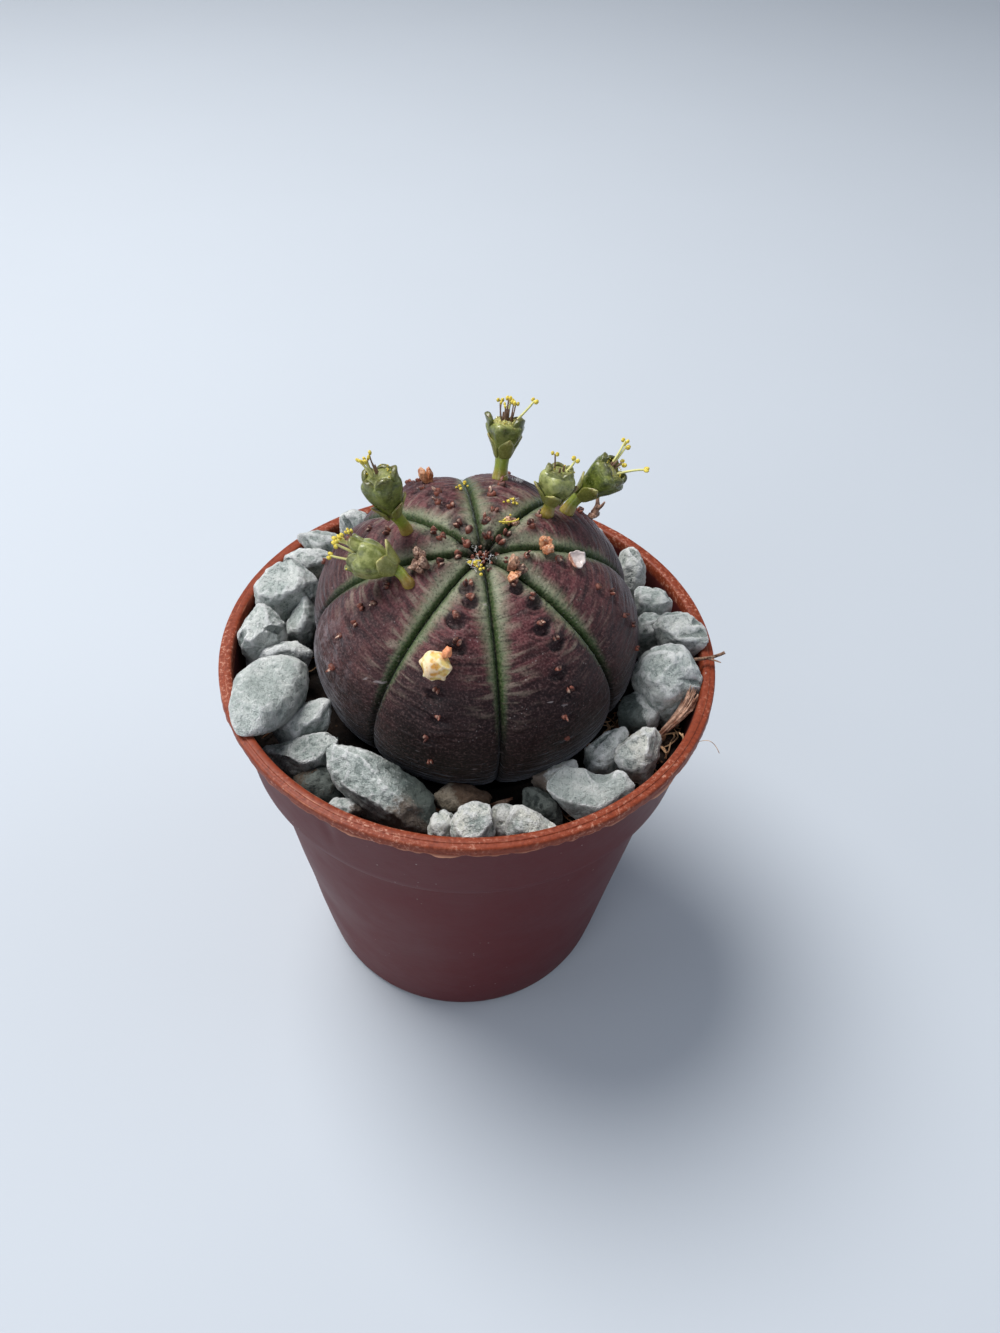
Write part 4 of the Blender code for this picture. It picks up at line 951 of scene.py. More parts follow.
def scoopOut(points, centre, radius, middle):
    # presses the points inside a ball through to its far side
    way = unit(middle - centre)
    off = points - centre
    along = off @ way
    inside = radius ** 2 - np.sum(off ** 2, axis=1)
    push = np.where(inside > 0, np.sqrt(np.maximum(inside + along ** 2, 0)) - along, 0)
    return points + way * push[:, None]


def chanceWay(chance, share=1.0, lift=0.0):
    # a random direction that never looks down
    way = chance.normal(size=3)
    way[2] = abs(way[2]) * share + lift
    return unit(way)


def makeStone(source, number, finishes):
    chance = np.random.default_rng(400 + number)
    piece = copyTo(source, Matrix.Scale(1000, 4))
    pick(piece)
    bpy.ops.object.mode_set(mode="EDIT")
    bpy.ops.mesh.select_all(action="SELECT")
    bpy.ops.mesh.remove_doubles(threshold=0.01)
    bpy.ops.mesh.normals_make_consistent(inside=False)
    bpy.ops.object.mode_set(mode="OBJECT")
    modify(piece, "REMESH", mode="VOXEL", voxel_size=gravel["grain"])
    calm = number in gravel["calm"]
    points = getPoints(piece) + getNormals(piece) * gravel["grow"]
    low, high = points.min(axis=0), points.max(axis=0)
    middle, size, soft = (high + low) / 2, float(np.mean(high - low)), gravel["edge"]

    # drawn corners and broad faces, then flat cuts, stepped breaks and bites
    for *way, reach in gravel["corners"].get(number, ()):
        way = unit(seenWay(*way))
        near = np.exp(-(distance(points, points[np.argmax(points @ way)]) / (size * 0.26)) ** 1.4)
        points = points + way * (near * reach)[:, None]
    for *way, depth in gravel["faces"].get(number, ()):
        points = shave(points, unit(seenWay(*way)), depth, 0.05)
    for cut in range(3 if calm else int(chance.integers(6, 10))):
        points = shave(points, chanceWay(chance, 0.8, 0.05), size * (0.03 if calm else chance.uniform(0.02, 0.08)),
                       soft * chance.uniform(0.15, 0.5))
    for cut in range(0 if calm else int(chance.integers(1, 4))):
        way = chanceWay(chance)
        side = unit(np.cross(way, chance.normal(size=3)))
        spot = points[np.argmax(points @ way)] - way * size * chance.uniform(0.04, 0.10)
        lean = chance.uniform(0.25, 0.6)
        points = breakOff(points, way * lean + side, way * 1.2 - side * lean, spot, soft * 0.6)
    for *way, radius in gravel["bites"].get(number, ()):
        points = scoopOut(points, middle + seenWay(*way), radius, middle)
    points = evened(piece, points, gravel["calm"].get(number, 0))
    setPoints(piece, points)

    # rough broken surface: chips in three sizes, then grains
    twisted = points + 0.25 * lumps(points, 1.1, 5, 2)[:, None]
    rough = 0.45 if calm else chance.uniform(0.8, 1.15)
    heights = 0.10 * lumps(points, 3.0, number) + rough * (
        0.24 * (chips(twisted, 3.1, number) - 0.62) + 0.15 * (chips(twisted, 1.4, number + 30) - 0.55)
        + 0.13 * (chips(twisted, 0.75, number + 60) - 0.5))
    heights = heights + (0.05 if calm else 0.075) * lumps(points, 0.42, number + 9, 2)
    points = points + getNormals(piece) * np.clip(heights, -0.6, 0.2)[:, None]
    setPoints(piece, points)

    # what lies lower than its surroundings, for the painted shade in the recesses, and the stains
    normals = getNormals(piece)
    near = evened(piece, points, 5)
    wide = evened(piece, near, 14)
    hollow = np.sum((near - points) * normals, axis=1) / 0.06 + np.sum((wide - points) * normals, axis=1) / 0.20
    paint(piece, "hollow", np.clip(0.5 + 0.25 * hollow, 0, 1))
    for name in ("shade", "stain"):
        right, up, start, end, strength = gravel[name].get(number, (0, 0, 0, 1, 0))
        along = (points - middle) @ seenWay(right, up, 0) + 0.7 * lumps(points, 1.6, number + 3, 2)
        paint(piece, name, strength * easeStep(start, end, along))
    paint(piece, "tone", chance.uniform(0.8, 1.0) if number in gravel["warm"] else chance.uniform(0, 0.7))
    paint(piece, "calm", 0.7 if calm else chance.uniform(0, 0.5))
    slot = source.data.materials[0].name
    finish = finishes["gravel_pale" if number in gravel["paler"] else slot]
    finishPiece(piece, "gravel" + source.name[-2:], finish, source.name)


def gravelFinish(name, pale, grey, recess, brown, brownness):
    finish = Finish(name, 0.92, 0.2)
    hollow, tone, calm = finish.layer("hollow"), finish.layer("tone"), finish.layer("calm")
    cloud, grain, fine = finish.noise(2.4, 4, 0.6), finish.noise(0.5, 4, 0.72), finish.noise(0.13, 2, 0.6)
    finish.colour = finish.blend(finish.between(cloud + (tone - 0.5) * 0.22, 0.36, 0.66), grey, pale)
    warmer = tuple(c * t for c, t in zip(shaderColour(pale), (1.0, 0.93, 0.80, 1.0)))
    finish.coat(finish.between(tone, 0.5, 1.0, 0, 0.5) * finish.between(cloud, 0.3, 0.6), warmer)
    # chalky dust on what stands out, dark green-grey mottle and speckle, and a dark green-grey painted shade in
    # what lies low
    mottle = finish.between(grain + (cloud - 0.5) * 0.6, 0.52, 0.38) * (1 - calm * 0.75)
    speckle = finish.between(fine + (grain - 0.5) * 0.6, 0.42, 0.30) * (1 - calm * 0.4)
    low = finish.between(hollow + (grain - 0.5) * 0.8, 0.60, 0.90) * (1 - calm * 0.6)
    for share in (mottle * 0.65, speckle * 0.6, low * 0.75):
        finish.coat(share, recess)
    finish.coat(finish.between(hollow + (grain - 0.5) * 0.5, 0.44, 0.22, 0, 0.5), shaderColour(pale, 1.25, 0.85))
    finish.coat(finish.between(fine, 0.54, 0.72, 0, 0.3), shaderColour(pale, 1.3, 0.88))
    finish.coat(finish.dots(0.8, 0.15, 0.07) * finish.between(cloud, 0.42, 0.56) * (1 - calm) * 0.5, recess)
    holes = finish.dots(0.55, 0.14, 0.05) * finish.between(grain, 0.42, 0.6) * (1 - calm * 0.6)
    finish.coat(holes * 0.6, shaderColour(recess, 0.6))
    stain = finish.between(finish.noise(1.7, 4, 0.65) + (tone - 0.5) * 0.2, 0.60, 0.74) * brownness
    stain = finish.between(stain + finish.layer("stain") + (grain - 0.5) * 1.5, 0.3, 0.85)
    finish.coat(stain * 0.85, finish.blend(grain, brown, shaderColour(brown, 1.5)))
    shade = finish.between(finish.layer("shade") + (grain - 0.5) * 1.5, 0.3, 0.85)
    finish.coat(shade * 0.88, finish.blend(grain, shaderColour(recess, 0.3), recess))
    bump = finish.relief(fine, 0.16, finish.relief(finish.dots(0.55, 0.04, 0.22), 0.05))
    finish.show(finish.relief(grain, 0.34, bump), finish.between(grain, 0.3, 0.7, 0.84, 0.96))
    return finish


def makeGravel():
    finishes = {slot: gravelFinish(*look) for slot, look in gravel["colours"].items()}
    for number, name in enumerate(sorted(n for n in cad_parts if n.startswith("stone_")), 1):
        makeStone(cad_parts[name], number, finishes)


soil = {
    "level": 43.2,
    "slope": 0.1,
    "bank": (23.0, -9.0, 1.6, 3.2),  # place, height and width of the heap at the right
    "sides": 440,
    "clumps": 0.55,
    "floor": 2.8,
    "gap": 0.3,  # left between the soil and the wall
    "colours": ((16, 12, 10), (36, 27, 22)),
}


def soilHeight(x, y):
    wave = np.sin(0.9 * x + 0.7) * np.sin(1.1 * y) + 0.6 * np.sin(0.43 * x - 0.61 * y)
    bankX, bankY, high, wide = soil["bank"]
    bank = high * bell(np.hypot(x - bankX, y - bankY) / wide)
    return soil["level"] + soil["slope"] * y + 0.3 * wave / 1.6 + bank


def underGlobe(x, y):
    # how high the globe's underside is over a place, or a great height where it isn't overhead
    turn, size, centre = np.array(plantAxes), globeSize + 0.35, globe["centre"]
    flat = np.stack((x - centre[0], y - centre[1], np.zeros_like(x)), 1) @ turn / size
    up = np.array((0, 0, 1)) @ turn / size
    a, b, c = up @ up, flat @ up, np.sum(flat * flat, axis=1) - 1
    inside = b * b - a * c
    return np.where(inside > 0, centre[2] + (-b - np.sqrt(np.maximum(inside, 0))) / a, 1e3)


def makeSoil():
    floor, gap = soil["floor"], soil["gap"]
    rings = [(innerWall(floor) - gap - 0.6, floor), (innerWall(floor) - gap, floor + 0.6)]
    rings += [(innerWall(z) - gap, height) for z, height in ((38.4, 38.55), (39.0, 39.45), (42, 42.0))]
    rings += [(24.4 - 0.2 * n, 43.0) for n in range(84)] + [(7.0, 43.0), (4.0, 43.0)]
    piece = turnRings(rings, soil["sides"])
    points = getPoints(piece)
    top = points[:, 2] > 42.5
    x, y = points[top, 0], points[top, 1]
    flat = np.stack((x, y, np.zeros_like(x)), 1)
    clump = lumps(flat, 1.9, 3, 3) * 0.7 + np.abs(lumps(flat, 0.8, 8, 2)) * 0.9 - 0.25
    grain = np.clip(0.75 - chips(flat, 1.0, 4), 0, 0.6)
    height = soilHeight(x, y) + soil["clumps"] * (0.6 * clump + 0.9 * grain) + 0.05
    height = np.minimum(height, underGlobe(x, y))
    points[top, 2] = height
    reach = np.hypot(x, y)
    limit = innerWall(43) + (height - 43) * 0.107 - 0.05
    points[top, :2] *= np.where(reach > 24.3, limit / reach, 1)[:, None]
    setPoints(piece, points)
    finish = Finish("pottingSoil", 0.95, 0.3)
    grain = finish.noise(0.5, 4, 0.7)
    finish.colour = finish.blend(finish.patches(2.2, 0.35, 0.65, 3, 0.6), *soil["colours"])
    finish.coat(finish.between(grain, 0.56, 0.76, 0, 0.6), (72, 54, 42))
    finish.coat(finish.dots(1.1, 0.16, 0.08) * finish.patches(3, 0.5, 0.6) * 0.6, (120, 92, 68))
    finish.show(finish.relief(grain, 0.25))
    finishPiece(piece, "pottingSoil", finish, "soil")


litter = {
    "fibres": 170,
    "crumbs": 330,
    # fibres laid one by one: radius, then the places they run through
    "laid": (
        (0.035, (22.6, -11.6, 46.2), (24.2, -11.8, 48.4), (25.2, -12.3, 50.2), (26.1, -13.0, 50.35),
         (26.6, -13.8, 49.6)),
        (0.10, (19.9, -15.5, 44.4), (21.6, -14.4, 45.6), (23.2, -12.6, 46.1), (23.9, -10.6, 46.6),
         (23.6, -9.4, 47.2)),
        (0.10, (21.2, -13.0, 44.6), (22.6, -12.2, 46.0), (23.9, -11.5, 46.4), (24.4, -10.0, 46.6),
         (23.4, -8.8, 46.6)),
    ),
    "fibreColours": ((112, 76, 52), (198, 160, 124)),
    "crumbColours": ((18, 14, 12), (66, 50, 40)),
    "flakeColours": ((70, 44, 30), (158, 112, 80)),
}


def overSoil(x, y, lift=0.0):
    return float(soilHeight(np.array([x]), np.array([y]))[0]) + lift


def soilSpot(chance):
    # a place on the open soil, mostly at the right and along the front
    while True:
        pull = chance.random()
        if pull < 0.5:
            turn = math.radians(chance.gauss(-27, 11))
        elif pull < 0.8:
            turn = math.radians(chance.gauss(-72, 22))
        else:
            turn = chance.uniform(-math.pi, math.pi)
        reach = chance.uniform(17.5, 24.2)
        x, y = reach * math.cos(turn), reach * math.sin(turn)
        if float(underGlobe(np.array([x]), np.array([y]))[0]) > overSoil(x, y) + 2.0:
            return x, y


def makeLitter():
    chance = random.Random(21)
    paths = []
    for number in range(litter["fibres"]):
        x, y = soilSpot(chance)
        heading, curl = chance.uniform(0, 2 * math.pi), chance.uniform(-0.7, 0.7)
        step, thick = chance.uniform(0.5, 1.1), chance.uniform(0.06, 0.13)
        path = []
        for knot in range(6):
            if math.hypot(x, y) > innerWall(44) - 0.4:
                x, y = x * 0.97, y * 0.97
            z = overSoil(x, y, 0.35 + 0.5 * math.sin(knot * chance.uniform(0.4, 1.1)) ** 2)
            path.append(((x, y, z), thick * (0.5 if knot in (0, 5) else 1)))
            heading += curl + chance.uniform(-0.5, 0.5)
            x, y = x + step * math.cos(heading), y + step * math.sin(heading)
        paths.append(path)
    paths += [[(place, radius) for place in places] for radius, *places in litter["laid"]]
    finish = cloudyFinish("tanFibre", 0.8, litter["fibreColours"], (1.6, 0.38, 0.62, 3, 0.6), (0.2, 2), 0.03)
    finishPiece(wires(paths, 0, 3), "soilFibres", finish)

    crumb = lump((0.30, 0.24, 0.2), 2, 0.35, 0.6)
    flake = lump((0.42, 0.16, 0.07), 5, 0.35, 0.5)
    crumbs, flakes = [], []
    for number in range(litter["crumbs"]):
        x, y = soilSpot(chance)
        turn = Matrix.Rotation(chance.uniform(0, 6.28), 3, "Z")
        turn = turn @ Matrix.Rotation(chance.uniform(-0.7, 0.7), 3, "X")
        size = chance.uniform(0.7, 2.0) if number % 7 else chance.uniform(1.8, 2.6)
        home = placed((x, y, overSoil(x, y, 0.30 + 0.1 * size)), turn, size)
        if number % 4:
            crumbs.append(copyTo(crumb, home))
        else:
            flakes.append(copyTo(flake, home))
    throwAway(crumb, flake)
    finish = cloudyFinish("soilCrumb", 0.95, litter["crumbColours"], (3, 0.4, 0.64, 3, 0.7), (0.3, 3), 0.12)
    finishPiece(joinPieces(crumbs), "soilCrumbs", finish)
    finish = cloudyFinish("barkFlake", 0.85, litter["flakeColours"], (2.1, 0.36, 0.62, 3, 0.7), (0.3, 3), 0.08)
    finishPiece(joinPieces(flakes), "barkFlakes", finish)


# every knot is a place and a half width
wood = {
    # bundles of splinters: the piece's name, how many splinters, and its middle line
    "bundles": {
        "bark_sliver": ("barkSliver", 56, ((21.2, -8.6, 45.3, 0.45), (22.6, -7.8, 46.9, 0.6),
                                           (24.1, -6.8, 48.7, 0.9), (24.7, -5.7, 50.5, 1.05))),
        "bark_chip": ("barkChip", 12, ((3.4, -16.9, 42.4, 0.35), (4.6, -16.6, 42.7, 0.5),
                                       (5.9, -16.2, 43.1, 0.3))),
    },
    "twig": (
        ((24.4, -1.8, 50.9, 0.186), (26.0, -1.6, 50.85, 0.217), (27.2, -1.3, 50.95, 0.186),
         (28.2, -1.0, 51.5, 0.186)),
        ((22.6, -2.6, 51.15, 0.1), (23.4, -2.2, 51.0, 0.17), (24.4, -1.8, 50.9, 0.186)),
        ((26.4, -1.5, 50.9, 0.16), (27.1, -1.9, 51.1, 0.12), (27.7, -2.3, 51.2, 0.06)),
    ),
    "colours": ((130, 84, 64), (212, 174, 150)),
    "twigColours": ((62, 44, 38), (150, 118, 96)),
}


def alongPath(path, share):
    spot = share * (len(path) - 1)
    first = min(int(spot), len(path) - 2)
    return [a + (b - a) * (spot - first) for a, b in zip(path[first], path[first + 1])]


def makeWood():
    chance = random.Random(8)
    finish = Finish("dryWood", 0.8, 0.3)
    grain = finish.noise(0.25, 3, 0.6)
    finish.colour = finish.blend(finish.patches(1.3, 0.36, 0.64, 3, 0.6), *wood["colours"])
    finish.coat(finish.between(grain, 0.5, 0.66, 0, 0.5), (70, 40, 26))
    finish.show(finish.relief(grain, 0.08))
    for node, (name, splinters, path) in wood["bundles"].items():
        paths = []
        for splinter in range(splinters):
            turn, out = chance.uniform(0, 6.28), math.sqrt(chance.random())
            start, end = chance.uniform(0, 0.3), chance.uniform(0.62, 1.0)
            thick = chance.uniform(0.09, 0.17)
            side = Vector((-0.55, 0.8, 0.2)) * math.cos(turn) + Vector((-0.5, -0.4, 0.75)) * math.sin(turn) * 0.6
            knots = []
            for knot in range(5):
                x, y, z, width = alongPath(path, start + (end - start) * knot / 4)
                spread = (width - 0.12) * out * (1.15 if knot == 4 else 0.9)
                place = Vector((x, y, z)) + side * spread
                place += Vector([chance.uniform(-0.06, 0.06) for axis in range(3)])
                knots.append((place, thick * (0.35 if knot in (0, 4) else 1)))
            paths.append(knots)
        finishPiece(wires(paths), name, finish, node)
    piece = wires([[(place, width) for *place, width in path] for path in wood["twig"]], 3, 8)
    roughen(piece, 0.05, 0.5, 4)
    finish = cloudyFinish("greyTwig", 0.85, wood["twigColours"], (0.3, 0.36, 0.64, 3, 0.6), (0.3, 3, 0.6), 0.08)
    finishPiece(piece, "lyingTwig", finish, "twig")


# For each flower: azimuth and latitude of its foot, where its cup starts and its mouth is, seen from that
# foot, half widths of cup and stalk, how open, how round and how pale it is, how its five glands are
# turned and how high they stand, the headings of its bracts with their width and lean, dried stumps in
# the mouth, and its filaments: heading round the cup's axis, lean, length, whether dried.
flowers = {
    "cyathium_1": {
        "foot": (162, 63), "cup": (-1.2, -0.45, 2.2), "mouth": (-2.35, -0.8, 6.9), "radius": 2.0, "stalk": 0.56,
        "open": 0.15, "bulb": 0.22, "pale": 0.20, "turn": 8, "glands": (1.35, 0.6, 0.9, 0.8, 1.45),
        "bracts": (15, 215, 330), "bractForm": (1.8, 0.28), "stumps": 2,
        "threads": ((185, 0.22, 2.3, 0), (165, 0.14, 2.0, 0), (120, 0.04, 2.2, 1), (150, 0.08, 1.8, 1)),
    },
    "cyathium_2": {
        "foot": (-151, 64), "cup": (-1.25, 0.55, 1.15), "mouth": (-5.3, 1.1, 2.2), "radius": 2.0, "stalk": 0.52,
        "open": 0.35, "bulb": 0.62, "pale": 0.85, "turn": 40, "glands": (1.5, 1.2, 0.9, 0.8, 1.5),
        "bracts": (350, 285, 60), "bractForm": (2.3, 0.5), "stumps": 2,
        "threads": ((180, 0.12, 2.2, 0), (0, 0.04, 2.1, 0), (10, 0.20, 1.9, 0), (350, 0.38, 1.8, 1),
                    (10, 0.60, 1.6, 1), (350, 0.85, 1.4, 1), (300, 0.3, 1.9, 0), (60, 0.3, 1.8, 0)),
    },
    "cyathium_3": {
        "foot": (84.5, 47), "cup": (0.1, 0.8, 2.0), "mouth": (0.35, 2.2, 5.4), "radius": 2.05, "stalk": 0.72,
        "open": 1.00, "bulb": 0.10, "pale": 0.35, "turn": 40, "glands": (0.6, 0.2, 1.3, -0.45, 0.9),
        "bracts": (20, 190, 290), "bractForm": (1.8, 0.28), "stumps": 9,
        "threads": ((95, 0.06, 2.2, 1), (200, 0.10, 2.0, 1), (300, 0.12, 2.1, 1), (30, 0.10, 1.9, 1),
                    (150, 0.18, 2.0, 1), (355, 0.62, 3.0, 0), (250, 0.2, 1.7, 1), (80, 0.25, 2.0, 0)),
    },
    "cyathium_4": {
        "foot": (47, 59), "cup": (0.3, 0.2, 1.2), "mouth": (0.85, 0.65, 4.7), "radius": 1.9, "stalk": 0.60,
        "open": 0.10, "bulb": 0.60, "pale": 0.90, "turn": 30, "glands": (0.55, 0.4, 0.7, 0.5, 0.5),
        "bracts": (10, 185, 265), "bractForm": (1.8, 0.28), "stumps": 2,
        "threads": ((180, 0.16, 1.7, 1), (20, 0.40, 1.4, 0)),
    },
    "cyathium_5": {
        "foot": (45, 48.3), "cup": (1.2, 0.35, 1.7), "mouth": (4.3, 0.75, 4.9), "radius": 2.1, "stalk": 0.64,
        "open": 0.60, "bulb": 0.15, "pale": 0.00, "turn": 90, "glands": (1.0, 0.9, 0.5, 0.6, 0.8),
        "bracts": (170, 20, 270), "bractForm": (1.8, 0.28), "stumps": 2,
        "threads": ((118, 0.42, 2.7, 0), (108, 0.34, 2.4, 0), (10, 0.60, 2.8, 0), (60, 0.3, 1.0, 0)),
    },
}
cupRings = {
    # outside: the radius of a slim and of a round cup, and the height, as shares
    "outside": ((0.15, 0.15, -0.03), (0.31, 0.33, 0.0), (0.36, 0.42, 0.06), (0.44, 0.57, 0.15), (0.54, 0.75, 0.26),
                (0.66, 0.91, 0.40), (0.79, 1.0, 0.55), (0.90, 0.99, 0.68), (0.97, 0.93, 0.78), (0.99, 0.87, 0.84),
                (0.96, 0.80, 0.89), (0.88, 0.72, 0.93)),
    # inside: the radius, and the height in an open and in a closed cup
    "inside": ((0.78, 0.945, 0.96), (0.66, 0.93, 0.985), (0.56, 0.905, 1.0), (0.42, 0.92, 1.01), (0.28, 0.96, 1.0),
               (0.14, 0.99, 0.99)),
}


def petal(width, height, thickness, bend, point, seed):
    # a small scoop that stands on the origin and hollows towards -Y
    piece = add(bpy.ops.mesh.primitive_grid_add, x_subdivisions=8, y_subdivisions=9, size=2)
    points = getPoints(piece)
    across, up = points[:, 0], (points[:, 1] + 1) / 2
    share = np.clip((up - 0.45) / (0.65 - 0.1 * point), 0, 1)
    outline = np.maximum(1 - share ** 2, 0.012) ** (0.42 + 0.58 * point)
    side = across * width / 2 * (outline * (0.62 + 0.38 * np.minimum(up / 0.45, 1)))
    arch = -bend * (side / (width / 2)) ** 2 + 0.35 * bend * (up - 0.3) ** 2
    rim = 0.04 * lumps(np.stack((side * 2, up * 3, up * 0 + seed), 1), 0.6, seed)
    setPoints(piece, np.stack((side, arch + rim, up * height * (1 - 0.12 * across ** 2)), 1))
    modify(piece, "SOLIDIFY", thickness=thickness, offset=0)
    modify(piece, "SUBSURF", levels=1, render_levels=1)
    paint(piece, "tip", easeStep(height * 0.45, height * 0.98, getPoints(piece)[:, 2]))
    return piece


def stand(part, layer, amount, heading, reach, height, lean):
    # paints a petal and stands it on a circle round the cup's axis, leaning outwards
    paint(part, layer, amount)
    turn = Matrix.Rotation(heading - math.pi / 2, 4, "Z")
    part.data.transform(turn @ Matrix.Translation((0, reach, height)) @ Matrix.Rotation(lean, 4, "X"))
    return part


def makeCup(form, length, number):
    # rings, then five soft ribs and an uneven mouth
    radius, bulb, opened = form["radius"], form["bulb"], form["open"]
    rings = [(radius * (slim + (full - slim) * bulb), length * height)
             for slim, full, height in cupRings["outside"]]
    rings += [(radius * share * (1 - 0.2 * bulb), length * (wide * opened + closed * (1 - opened)))
              for share, wide, closed in cupRings["inside"]]
    cup = turnRings(rings, 40)
    points = getPoints(cup)
    turn = np.arctan2(points[:, 1], points[:, 0])
    up = points[:, 2] / length
    ribs = 1 + 0.085 * np.cos(5 * turn + math.radians(form["turn"]) * 5) * easeStep(0.1, 0.6, up)
    points[:, :2] *= ribs[:, None]
    points += getNormals(cup) * (0.07 * lumps(points, 0.9, number, 2))[:, None]
    inner = (np.hypot(points[:, 0], points[:, 1]) < radius * 0.72) & (up > 0.84)
    points[inner, 2] += 0.22 * opened * np.abs(lumps(points[inner], 0.35, 5 + number))
    setPoints(cup, points)
    paint(cup, "mouth", np.where(inner, 1.0, 0.35 * easeStep(0.82, 0.95, up)) * opened)
    paint(cup, "young", easeStep(0.5, 0.0, up) * 0.6)
    return cup


def makeStalk(form, foot, base, axis):
    thick, bend = form["stalk"], Vector((0, 0, 1)) * 0.25
    sunk = onSkin(*form["foot"], -0.5)[0]
    stalk = wires([[(sunk, thick * 1.1), (sunk.lerp(foot, 0.6), thick * 1.35), (foot, thick * 1.2),
                    (foot.lerp(base, 0.3) + bend, thick), (foot.lerp(base, 0.7) + bend, thick * 1.05),
                    (base, thick * 1.15), (base + axis * 0.5, thick)]], 5, 6)
    roughen(stalk, 0.05, 0.8, 2)
    paint(stalk, "young", 1.0)
    paint(stalk, "foot", easeStep(1.4, 0.5, distance(getPoints(stalk), np.array(foot))))
    return stalk


def makeFlower(node, number, green, threadFinish, pollen):
    form = flowers[node]
    foot = onSkin(*form["foot"], 0.4)[0]
    base, mouth = foot + Vector(form["cup"]), foot + Vector(form["mouth"])
    axis, length = (mouth - base).normalized(), (mouth - base).length
    radius, bulb, opened = form["radius"], form["bulb"], form["open"]
    # the cup's own axes: X to the viewer's right, so that headings read from the right round by the back
    y = axis.cross(Vector((1, 0, 0))).normalized()
    turn = upright(y if y.y > 0 else -y, axis)
    home = Matrix.Translation(base) @ turn.to_4x4()
    chance = random.Random(60 + number)

    pieces = [makeCup(form, length, number)]
    # glands: five thick ears on the rim, and pale fringed lobes between them
    for lobe, height in enumerate(form["glands"]):
        ear = petal(radius * (0.92 - 0.12 * bulb), 0.75 + height * 0.62, 0.5, 0.4, 0.0, lobe + 3)
        lean = 0.6 - 0.40 * height - 0.3 * opened + 0.1 * bulb - 0.15 * chance.random()
        pieces.append(stand(ear, "ear", 1.0, math.radians(form["turn"] + 72 * lobe),
                            radius * (0.84 - 0.14 * bulb), length * 0.80, lean))
    for lobe in range(10 if opened > 0.3 else 0):
        heading = math.radians(form["turn"] + 36 * lobe + chance.uniform(-8, 8))
        fringe = petal(0.62, chance.uniform(0.7, 1.05) * (0.35 + 0.65 * opened), 0.14, 0.2, 0.5, lobe)
        pieces.append(stand(fringe, "mouth", opened, heading, radius * (0.66 - 0.1 * bulb), length * 0.86,
                            chance.uniform(0.15, 0.6)))
    # bracts: long scoops that clasp the foot of the cup
    width, hug = form["bractForm"]
    for heading in form["bracts"]:
        bract = petal(width, chance.uniform(2.3, 2.8), 0.22, 0.42, 0.5, heading)
        pieces.append(stand(bract, "bract", 1.0, math.radians(heading), radius * (0.34 + 0.12 * bulb), -0.25,
                            -chance.uniform(0.34, 0.44) - hug * bulb))
    body = joinPieces(pieces)
    paint(body, "pale", form["pale"])
    body.data.transform(home)
    body = joinPieces([body, makeStalk(form, foot, base, axis)])
    finishPiece(body, "flower" + str(number), green, node)

    # filaments with split anthers, then short dried stumps in the mouth
    paths, anthers, dried = [], [], []
    for heading, lean, reach, dry in form["threads"]:
        out = roundTo(math.radians(heading))
        start = out * radius * 0.28 + Vector((0, 0, length * 0.9))
        way = (out * lean + Vector((0, 0, 1))).normalized()
        side = Vector((chance.uniform(-1, 1), chance.uniform(-1, 1), 0)) * 0.3
        tip = start + way * (reach + 0.35) + out * lean * 0.5
        knots = [start, start.lerp(tip, 0.35) + side * 0.5, start.lerp(tip, 0.7) + side * 0.6, tip]
        thick = 0.09 if dry else 0.13
        dried.append(dry)
        paths.append([(home @ knot, thick * (0.9 if n else 1.15)) for n, knot in enumerate(knots)])
        anthers.append((home @ tip, (home.to_3x3() @ (tip - knots[2])).normalized(), dry))
    for stump in range(form["stumps"]):
        out = roundTo(chance.uniform(0, 6.28))
        start = out * radius * 0.2 + Vector((0, 0, length * 0.93))
        tip = start + Vector((0, 0, chance.uniform(0.8, 1.6))) + out * chance.uniform(-0.2, 0.5)
        paths.append([(home @ start, 0.12), (home @ start.lerp(tip, 0.5), 0.15), (home @ tip, 0.07)])
        dried.append(1)
    threads = wires(paths)
    points = getPoints(threads)
    owner = np.argmin([np.min([distance(points, np.array(place)) for place, size in path], axis=0)
                       for path in paths], axis=0)
    paint(threads, "dried", np.array(dried)[owner])
    finishPiece(threads, "filaments" + str(number), threadFinish)

    half = lump((0.20, 0.15, 0.24), 4, 0.2, 0.6)
    copies = []
    for place, way, dry in anthers:
        spin = facing(way) @ Matrix.Rotation(chance.uniform(-0.8, 0.8), 3, "Z")
        for side in (-1, 1):
            size = chance.uniform(0.95, 1.25) * (0.9 if dry else 1)
            shift = Vector((0.25 * side, 0, chance.uniform(-0.05, 0.12)))
            copies.append(copyTo(half, placed(place + spin @ shift, spin, size)))
    for grain in range(14):
        # pollen that has fallen on the rim
        a = chance.uniform(0, 6.28)
        place = Vector((math.cos(a) * radius * chance.uniform(0.3, 0.9), math.sin(a) * radius * 0.7,
                        length * chance.uniform(0.97, 1.04)))
        copies.append(copyTo(half, placed(home @ place, turn, chance.uniform(0.25, 0.5))))
    throwAway(half)
    finishPiece(joinPieces(copies), "anthers" + str(number), pollen)


